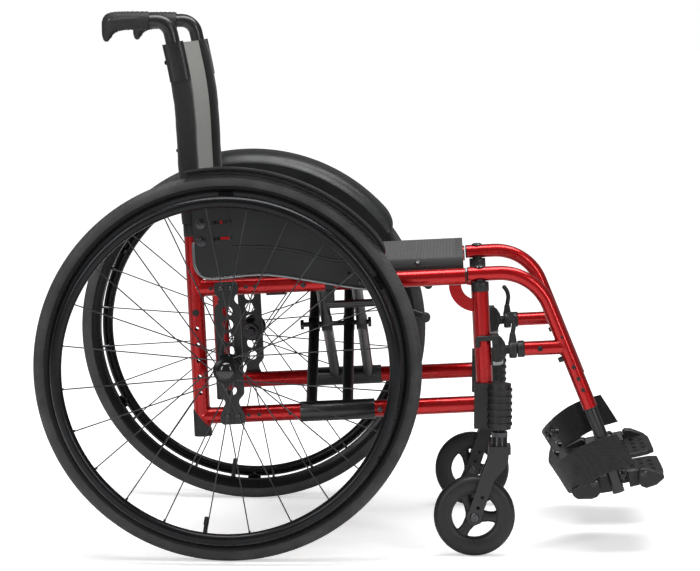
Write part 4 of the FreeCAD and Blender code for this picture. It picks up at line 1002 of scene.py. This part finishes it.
HANGER_R, HANGER_W, LATCH_W = 11.1, 119.6, 1.5
HANGER_REAR = FRONT - 17.2
KNEE, HANGER_END = Vector((472.5, 0, HANGER_W)), Vector((548, 0, -93.9))
SLOPE = (HANGER_END - KNEE).normalized()
for side, way in SIDES:
    body = f"{side}_legrest"
    y = Vector((0, way * HALF, 0))
    bm = bmesh.new()
    path = bent([(HANGER_REAR, 0, HANGER_W), KNEE, HANGER_END], [80], 16)
    pipe(bm, [p + y for p in path], HANGER_R, kind="POLY", sides=8)
    meet = KNEE + SLOPE * ((LATCH_W - HANGER_W) / SLOPE.z)
    rod(bm, Vector((450, 0, LATCH_W)) + y, meet + y, HANGER_R, sides=40)
    seam = []
    for k in range(24):
        a = 2 * math.pi * k / 24
        sideways, lift = HANGER_R * math.sin(a), HANGER_R * math.cos(a)
        along = -(math.sqrt(max(HANGER_R ** 2 - sideways ** 2, 0)) + 0.3) / abs(SLOPE.z)
        seam.append(meet + y + Vector((along + lift * SLOPE.x / SLOPE.z, sideways, lift)))
    pipe(bm, seam, 1.4, closed=True, sides=2)
    make(f"{side}_hanger_tube", bm, RED, body, TO_FRAME, [f"{side}_hanger"], 40)

    bm = bmesh.new()
    rear = Vector((HANGER_REAR, way * HALF, HANGER_W))
    revolve(bm, [(0.01, -0.1), (11.0, -0.1), (11.0, 1.2), (9.6, 2.2), (0.01, 2.4)],
            rear - Vector((0.05, 0, 0)), (-1, 0, 0), steps=40, closed=False)
    top = Vector((FRONT, way * HALF, HANGER_W + HANGER_R))
    revolve(bm, [(7.2, -2), (7.2, 1.0), (6.0, 2.2), (4.8, 2.4), (4.2, 1.4), (0.01, 1.4), (0.01, -2)],
            top, (0, 0, 1), steps=32)
    pin = Vector((FRONT, way * HALF, 63))
    rod(bm, pin, pin + Vector((0, 0, 50)), 7.9, sides=32)
    outer = Vector((0, way, 0))
    facing = outer * (HANGER_R + 0.1)
    across = Vector((-SLOPE.z, 0, SLOPE.x))
    for w, r in ((17.5, 2.4), (-29, 3.6), (-47.5, 3.6), (-65, 3.6)):
        spot = KNEE + SLOPE * ((w - HANGER_W) / SLOPE.z) + y
        rod(bm, spot + facing - outer * 1.5, spot + facing + outer * 0.5, r, r * 0.8, 20)
    knob = KNEE + SLOPE * ((-13 - HANGER_W) / SLOPE.z) + y - across * 9
    rod(bm, knob, knob - across * 9, 4.6, 3.8, 20)
    screw(bm, Vector((475, way * HALF, LATCH_W)) + facing, (0, way, 0), 4.2, 2.4)
    end = HANGER_END + y
    revolve(bm, [(9.6, -0.2), (11.4, -0.2), (11.4, 1.4), (10.6, 2.0), (9.6, 2.0)], end, SLOPE, steps=36)
    make(f"{side}_hanger_plugs", bm, NYLON, body, TO_FRAME, (), 40)
    bm = bmesh.new()
    revolve(bm, [(7.3, 0.1), (8.4, 0.1), (8.2, 1.2), (7.3, 1.4)], top, (0, 0, 1), steps=32)
    make(f"{side}_pivot_washer", bm, BRIGHT, body)

    bm = bmesh.new()
    yy = way * HALF
    neck = [(6.9, 415), (9.5, 415), (8.2, 419), (7.0, 423), (7.0, 427), (6.9, 452)]
    revolve(bm, [(r, u) for r, u in neck] + [(0.01, 452), (0.01, 415)], (0, yy, LATCH_W), (1, 0, 0), steps=32)
    revolve(bm, [(8, 440.5), (12.6, 440.5), (12.9, 442), (12.9, 450.5), (11.3, 451.5), (8, 451.5)],
            (0, yy, LATCH_W), (1, 0, 0), steps=40)
    plate = [(402, -14), (406, -17), (416, -16), (420, -6), (423, 4), (422, 12), (417, 20), (411, 25),
             (402.4, 25)]
    slab(bm, [(u, yy - 8, w) for u, w in plate], 16)
    for flank in (-1, 1):
        edge = yy + flank * 15.2
        arm = [(376.5, 8), (383, 8), (383, 17.5), (404, 17.5), (404, 25.5), (380, 25.5), (376.5, 22)]
        slab(bm, [(u, edge - 1.6, w) for u, w in arm], 3.2)
    brick(bm, (402.2, yy - 16.8, 10), (413, yy + 16.8, 25.4))
    make(f"{side}_latch_hook", bm, NYLON, body, TO_FRAME, (), 30, 1.2)
    bm = bmesh.new()
    plate = [(402, -22), (414, -22), (418, -19), (418, -2), (402, -2)]
    slab(bm, [(u, yy - 6, w) for u, w in plate], 12)
    make(f"{side}_catch_plate", bm, BRIGHT, body, TO_FRAME, (), 30, 0.8)

    bm = bmesh.new()
    collar = [(7.2, 427.4), (12.4, 427.4), (13.6, 429), (13.9, 432), (13.9, 436), (13.0, 439.4), (7.2, 439.8)]
    revolve(bm, collar, (0, yy, LATCH_W), (1, 0, 0), steps=40)
    shoulder = [(426.5, LATCH_W + 8), (428.5, LATCH_W + 16), (429.5, LATCH_W + 23), (431, LATCH_W + 26),
                (437, LATCH_W + 26), (438.6, LATCH_W + 23), (439.6, LATCH_W + 16), (440.2, LATCH_W + 8)]
    slab(bm, [(u, yy - 6.5, w) for u, w in shoulder], 13)
    stem = smooth_line([(434, yy, LATCH_W + 23), (435.6, yy, LATCH_W + 31), (436.8, yy, LATCH_W + 39),
                        (435.2, yy, LATCH_W + 48), (431, yy, LATCH_W + 55)], 5)
    pipe(bm, stem, 3.6, kind="POLY", sides=4)
    tip = bmesh.ops.create_uvsphere(bm, u_segments=16, v_segments=10, radius=3.9)["verts"]
    bmesh.ops.translate(bm, verts=tip, vec=stem[-1])
    make(f"{side}_latch_lever_arm", bm, NYLON, f"{side}_latch_lever", TO_FRAME, [f"{side}_latch"], 35, 1.0)
told("hangers and latches")

# %% [markdown]
# ## Footplates
# Each footplate is a ribbed moulding that swings up on the cross pin at the foot of the extension
# tube. Rows of short raised bars keep a shoe from sliding. Two buffers hang from its outer edge.

# %% Footplates
# The ground's height below the axle
GROUND = -295
PLATE_TILT = math.radians(11.3)
FOOT = Vector((595, 0, 120 + GROUND))
FOOT_Y = 183


def on_plate(side_way):
    """From the footplate's own system, in millimetres from its pin, to the world."""
    turn = Matrix.Rotation(-PLATE_TILT, 4, "Y")
    return TO_WORLD @ Matrix.Translation(FOOT + Vector((0, side_way * FOOT_Y, 0))) @ turn


for side, way in SIDES:
    body, at = f"{side}_footrest", on_plate(way)
    inner = 22 - FOOT_Y
    bm = bmesh.new()
    outline = [(-64, inner), (-30, inner), (40, inner), (60, inner + 3), (72.4, inner + 16), (73, -60),
               (72.6, -22), (70, 1), (-70, 1), (-73, -30), (-73, inner + 14)]
    slab(bm, [Vector((u, way * y, -6.2)) for u, y in outline], 7.6, (0, 0, -1))
    for begin, run in ((-32, 18), (14, 18)):
        rod(bm, (begin, 0, 0), (begin + run, 0, 0), 6.9, sides=32)
        brick(bm, (begin, min(0, -way * 22), -9), (begin + run, max(0, -way * 22), -5.9))
        ear = [(-7, -6.6), (3.5, -10), (6.4, -3), (3, 5.8), (-4, 5.8), (-22, -6.2)]
        slab(bm, [(begin, way * y, w) for y, w in ear], run, (1, 0, 0))
    make(f"{side}_foot_tread", bm, NYLON, body, at, [f"{side}_footplate"], 30, 1.4)

    bm = bmesh.new()
    for row in range(9):
        for column in range(10):
            if (row + column) % 3 == 2:
                continue
            u, y = -58 + 14.5 * row, inner + 26 + 12.5 * column
            slant = 2.5 if column % 2 else -2.5
            near, far = way * (y - 1.1), way * (y + 1.1)
            slab(bm, [(u - 3.4, near - slant, -6.3), (u + 3.4, near + slant, -6.3),
                      (u + 3.4, far + slant, -6.3), (u - 3.4, far - slant, -6.3)], 1.3, (0, 0, 1))
    make(f"{side}_foot_grip", bm, GLOSS, body, at)

    bm = bmesh.new()
    for bump in (
        [(-73.3, -4.5), (-59.0, 0), (-45.5, 4.4), (-38.7, 6.0), (-31.4, 5.2), (-27.6, 1.2), (-29.3, -17.5),
         (-36.4, -23.5), (-45.0, -25.0), (-66.5, -21.2), (-72.7, -14.7)],
        [(33.7, 5.7), (38.9, 7.6), (48.6, 5.2), (61.1, -2.1), (70.3, -8.4), (70.9, -13.6), (56.9, -22.0),
         (40.3, -24.2), (33.0, -19.9), (30.0, -11.8)],
    ):
        slab(bm, [(u, way * 2.2, w) for u, w in bump], 20, (0, way, 0))
    make(f"{side}_foot_buffers", bm, NYLON, body, at, (), 30, 3.2)
    bm = bmesh.new()
    for pad in ([(-29.0, 4.5), (-9.9, 4.0), (-11.8, -21.6), (-30.5, -21.1)],
                [(16.8, 5.0), (34.1, 3.6), (32.1, -19.5), (16.3, -20.2)]):
        slab(bm, [(u, way * 5.0, w) for u, w in pad], 4.0, (0, way, 0))
    make(f"{side}_foot_brackets", bm, GUARD, body, at, (), 30, 1.2)
    bm = bmesh.new()
    for u in (-37.5, 39.8):
        revolve(bm, [(5.4, 0), (5.4, 0.8), (4.4, 1.2), (4.0, 0.2), (0.01, 0.2), (0.01, 0)],
                (u, way * 22.2, -1.0), (0, way, 0), steps=24)
        screw(bm, (u, way * 22.3, -1.0), (0, way, 0), 3.2, 1.4)
    make(f"{side}_foot_screws", bm, GLOSS, body, at)
    bm = bmesh.new()
    for u in (-8.6, 11.2):
        ball = bmesh.ops.create_uvsphere(bm, u_segments=20, v_segments=12, radius=5.4)["verts"]
        shape = Matrix.Translation((u, way * 10.5, 4)) @ Matrix.Diagonal((1, 0.7, 1, 1))
        bmesh.ops.transform(bm, verts=ball, matrix=shape)
    make(f"{side}_hinge_knobs", bm, NYLON, f"{side}_extension", at)
    soften(f"{side}_extension_tube", 0.5)
told("footplates")

# %% [markdown]
# ## Heel loops
# A band of ribbed webbing runs from each extension tube, round behind the heel and back to the
# inner side. A row of stitches closes the pocket that holds the tube, and a pair of press studs
# fixes the free end.

# %% Heel loops
WEB_TALL = 46
WEB_PATH = [(606, 211.5, -151), (590, 213.4, -156), (570, 213.5, -163), (550, 211.5, -173),
            (532, 207.5, -186), (518, 195, -198), (510, 177.5, -204), (507, 158, -206),
            (507, 140, -206), (507.8, 120, -202), (510, 100, -196), (514, 80, -187.5), (518, 64, -180)]
SEAM_AT = 20
for side, way in SIDES:
    line = smooth_line([(x, way * y, z) for x, y, z in WEB_PATH], 5)
    bm = bmesh.new()
    rows = []
    for k, p in enumerate(line):
        run = (line[min(k + 1, len(line) - 1)] - line[max(k - 1, 0)]).normalized()
        across = Vector((run.y, -run.x, 0)).normalized()
        rib = 0.45 * math.sin(k * 2.4)
        row = []
        for face, order in ((1.4, range(9)), (-1.0, range(8, -1, -1))):
            for j in order:
                lift = WEB_TALL * j / 8
                sag = 1.2 * math.sin(math.pi * j / 8)
                row.append(p + Vector((15 * (1 - j / 4), 0, lift)) + across * (face + rib * 0.3 + sag * 0.4))
        rows.append(row)
    loft(bm, rows)
    band = make(f"{side}_heel_band", bm, WEBBING, f"{side}_extension", TO_WORLD, [f"{side}_heel_loop"], 60)
    length = sum((b - a).length for a, b in zip(line, line[1:]))
    print(side, "heel loop", round(length, 1), "mm long")
    bm = bmesh.new()
    mark = line[SEAM_AT]
    run = (line[SEAM_AT + 1] - line[SEAM_AT - 1]).normalized()
    outward = Vector((run.y, -run.x, 0)).normalized()
    outward = outward if outward.y * way > 0 else -outward
    for shift in (-1.5, 1.5):
        spot = mark + run * shift + outward * 1.9
        stitches(bm, [spot + Vector((0, 0, 3)), spot + Vector((0, 0, WEB_TALL - 3))])
    thread = make(f"{side}_heel_thread", bm, EDGE_TAPE, f"{side}_extension", TO_WORLD)
    bm = bmesh.new()
    for spot in (line[-3] + Vector((-9, 0, 37)), line[-9] + Vector((-9, 0, 37))):
        stud = bmesh.ops.create_uvsphere(bm, u_segments=20, v_segments=12, radius=5.6)["verts"]
        bmesh.ops.translate(bm, verts=stud, vec=spot + Vector((-3, 0, 0)))
        rod(bm, spot, spot + Vector((7, 0, 0)), 3.4, sides=16)
    studs = make(f"{side}_heel_studs", bm, GLOSS, f"{side}_extension", TO_WORLD)
    for piece in (band, thread, studs):
        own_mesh(piece)
told("heel loops")

# %% [markdown]
# ## Casters and wheel locks
# The caster's hub is a three-spoked moulding with a polyurethane tread bonded round it. The tread
# and the hub's rings are spun, and each spoke is lofted from rounded sections.

# %% Caster wheels
CASTER_U, STEM_U, CASTER_Y, CASTER_R = 375, 413, 215, 62.5
ARM = ((9, 10.5, 9.0), (15, 9.0, 8.4), (22, 7.8, 7.8), (29, 8.2, 7.6), (34, 10.5, 8.0), (37, 13.5, 8.4))
for side, way in SIDES:
    centre = Vector((CASTER_U, way * CASTER_Y, CASTER_R + GROUND))
    bm = bmesh.new()
    half = [(37.0, 10.5), (38.4, 11.6), (44, 12.6), (50, 12.9), (55, 12.2), (58.6, 10.2), (61.2, 7.0),
            (62.4, 3.2)]
    revolve(bm, mirrored(half), centre, steps=96)
    make(f"{side}_caster_tread", bm, TREAD, f"{side}_caster", TO_WORLD, [f"{side}_caster_wheel"])
    bm = bmesh.new()
    half = [(34.6, 9.0), (35.4, 10.4), (37.4, 10.8), (38.0, 10.0)]
    revolve(bm, mirrored(half), centre, steps=96)
    half = [(4.15, 13), (9.5, 13), (12.5, 11.6), (13.6, 9)]
    revolve(bm, mirrored(half), centre, steps=48)
    for k in range(3):
        turn = Matrix.Translation(centre) @ Matrix.Rotation(math.radians(-116 - 120 * k), 4, "Y")
        rings = []
        for reach, wide, deep in ARM:
            ring = []
            for j in range(20):
                a = 2 * math.pi * j / 20
                c, s = math.cos(a), math.sin(a)
                ring.append(Vector((reach, deep * math.copysign(abs(c) ** 0.7, c),
                                    wide * math.copysign(abs(s) ** 0.7, s))))
            rings.append([turn @ p for p in ring])
        loft(bm, rings)
    make(f"{side}_caster_hub", bm, NYLON, f"{side}_caster", TO_WORLD, (), 40)
    bm = bmesh.new()
    stem = Vector((STEM_U, way * CASTER_Y, 176 + GROUND))
    revolve(bm, [(7.2, 8), (11.2, 8), (12.6, 9.2), (12.6, 16.2), (11.4, 17.6), (7.2, 17.6)],
            stem, (0, 0, 1), steps=12)
    make(f"{side}_stem_nut", bm, ZINC, f"{side}_fork", TO_WORLD, (), 20)
    bm = bmesh.new()
    for flank in (-1, 1):
        screw(bm, centre + Vector((0, flank * 21.7, 0)), (0, flank, 0), 7.2, 3.6)
    make(f"{side}_caster_screws", bm, ZINC, f"{side}_fork", TO_WORLD, [f"{side}_caster_axle"], 40)
    bm = bmesh.new()
    rod(bm, centre - Vector((0, 22, 0)), centre + Vector((0, 22, 0)), 4.0, sides=24)
    make(f"{side}_caster_spindle", bm, ZINC, f"{side}_fork", TO_WORLD)
told("caster wheels")

# %% [markdown]
# The caster's housing is moulded with five bands round it, which stiffen it. Each is a low ring
# with rounded edges, spun about the stem.

# %% Housing bands
for side, way in SIDES:
    bm = bmesh.new()
    for row in range(5):
        low = 197 + 8.4 + 10.5 * row + GROUND
        band = [(15.6, 0), (17.5, 0), (18.0, 0.6), (18.0, 8.2), (17.5, 8.8), (15.6, 8.8)]
        revolve(bm, [(r, low + h) for r, h in band], (STEM_U, way * CASTER_Y, 0), (0, 0, 1), steps=48)
    make(f"{side}_housing_fins", bm, NYLON, f"{side}_frame", TO_WORLD)
told("housing bands")

# %% [markdown]
# The wheel lock's lever is a slim bar that falls forward from its pivot. It is lofted along its
# length from rounded sections that are slimmer in the middle. The peg at its end stands in front of
# the tyre, and its rubber cap is spun from a ribbed profile.

# %% Wheel lock levers
LOCK_U, LOCK_W = 243, 83
LEVER_FALL, LEVER_LONG = math.radians(20), 64
for side, way in SIDES:
    bm = bmesh.new()
    lever = Vector((LOCK_U, way * 230.5, LOCK_W))
    outward = Vector((0, way, 0))
    rod(bm, lever, lever + outward * 8, 8, sides=32)
    rod(bm, Vector((LOCK_U, way * 212.2, LOCK_W)), lever + outward * 2, 2.9, sides=20)
    ahead = Vector((math.cos(LEVER_FALL), 0, -math.sin(LEVER_FALL)))
    rings = []
    for k in range(9):
        t = k / 8
        middle = lever + outward * 4 + ahead * (LEVER_LONG * t) + Vector((0, 0, 1.5 * math.sin(math.pi * t)))
        tall, wide = 5.4 - 1.4 * math.sin(math.pi * t), 3.2
        rings.append([middle + Vector((0, wide * math.copysign(abs(math.cos(a)) ** 0.6, math.cos(a)),
                                       tall * math.copysign(abs(math.sin(a)) ** 0.6, math.sin(a))))
                      for a in (2 * math.pi * j / 16 for j in range(16))])
    loft(bm, rings)
    peg = Vector((303, way * 231.5, 62))
    rod(bm, peg, peg + outward * 20, 5, sides=24)
    make(f"{side}_lock_lever", bm, POWDER, f"{side}_lock", TO_FRAME, [f"{side}_brake_lever"], 40)
    bm = bmesh.new()
    cap = [(5.1, 9), (7.0, 9), (7.4, 10.5), (6.6, 12), (7.4, 13.5), (6.6, 15), (7.4, 16.5), (6.6, 18),
           (7.4, 19.5), (7.2, 25), (6, 27.5), (0.01, 28), (0.01, 20), (5.1, 20)]
    revolve(bm, cap, peg, outward, steps=32)
    make(f"{side}_lock_peg_cap", bm, RUBBER, f"{side}_lock", TO_FRAME)
    bm = bmesh.new()
    screw(bm, lever + outward * 8.1, outward, 5.4, 2.6)
    make(f"{side}_lock_screw", bm, ZINC, f"{side}_lock", TO_FRAME)
told("wheel locks")

# %% [markdown]
# ## Studio
# A wide flat floor stands for a photographer's white sweep. It glows a little, for camera rays
# only and more with the distance, so it ends in plain white without lighting the chair from below.
# The world is white to the camera and dim to the chair for the same reason. A long soft box
# overhead and two tall ones in front give the tubes their highlights.

# %% Floor, light and camera
floor_mat, floor_shader, floor_place = start("pale studio floor", Roughness=0.9)
floor_tone = tint(floor_mat, mottle(floor_mat, floor_place, 3.0, 0.0, 1.0), "#f6f6f6", "#fafafa")
link(floor_mat, floor_tone, floor_shader.inputs["Base Color"])
link(floor_mat, floor_tone, floor_shader.inputs["Emission Color"])
glow = add(floor_mat, "ShaderNodeMath", operation="MULTIPLY")
far = add(floor_mat, "ShaderNodeVectorMath", {0: floor_place}, operation="LENGTH").outputs["Value"]
rise = add(floor_mat, "ShaderNodeMapRange", {
    "Value": far, "From Min": 0.8, "From Max": 2.6, "To Min": 0.52, "To Max": 0.95,
}).outputs["Result"]
link(floor_mat, rise, glow.inputs[1])
link(floor_mat, add(floor_mat, "ShaderNodeLightPath").outputs["Is Camera Ray"], glow.inputs[0])
link(floor_mat, glow.outputs[0], floor_shader.inputs["Emission Strength"])
bm = bmesh.new()
bmesh.ops.create_grid(bm, x_segments=1, y_segments=1, size=60)
mesh = bpy.data.meshes.new("floor")
bm.to_mesh(mesh)
bm.free()
mesh.materials.append(floor_mat)
floor = bpy.data.objects.new("floor", mesh)
bpy.context.scene.collection.objects.link(floor)

world = bpy.data.worlds.new("studio")
world.use_nodes = True
world.node_tree.nodes["Background"].inputs["Color"].default_value = (1, 1, 1, 1)
seen = world.node_tree.nodes.new("ShaderNodeLightPath").outputs["Is Camera Ray"]
dim = world.node_tree.nodes.new("ShaderNodeMapRange")
dim.inputs["To Min"].default_value = 0.2
dim.inputs["To Max"].default_value = 1.0
world.node_tree.links.new(dim.inputs["Value"], seen)
world.node_tree.links.new(world.node_tree.nodes["Background"].inputs["Strength"], dim.outputs["Result"])
bpy.context.scene.world = world
bpy.context.scene.view_settings.view_transform = "Standard"


def soft_box(name, at, aim, size, power):
    """A rectangular light that faces a point."""
    data = bpy.data.lights.new(name, "AREA")
    data.shape = "RECTANGLE"
    data.size, data.size_y = size
    data.energy = power
    lamp = bpy.data.objects.new(name, data)
    lamp.location = at
    lamp.rotation_euler = (Vector(aim) - Vector(at)).to_track_quat("-Z", "Y").to_euler()
    bpy.context.scene.collection.objects.link(lamp)


soft_box("overhead", (0.2, -0.3, 3.0), (0, 0, 0.3), (3.2, 1.1), 95)
soft_box("front left", (-2.4, -3.2, 2.0), (0, 0, 0.4), (0.7, 2.4), 42)
soft_box("front right", (2.6, -3.0, 1.9), (0, 0, 0.4), (0.5, 2.4), 38)

camera_data = bpy.data.cameras.new("camera")
camera_data.lens = 136.75
camera_data.sensor_width = 36
camera_data.clip_end = 100
camera = bpy.data.objects.new("camera", camera_data)
camera.location = (AXLE.x + 0.3353, -4.25, 0.8234)
camera.rotation_euler = (math.radians(84.247), 0, math.radians(2.15))
bpy.context.scene.collection.objects.link(camera)
bpy.context.scene.camera = camera
print("camera", round((camera.location - AXLE).length, 2), "m from the axle")
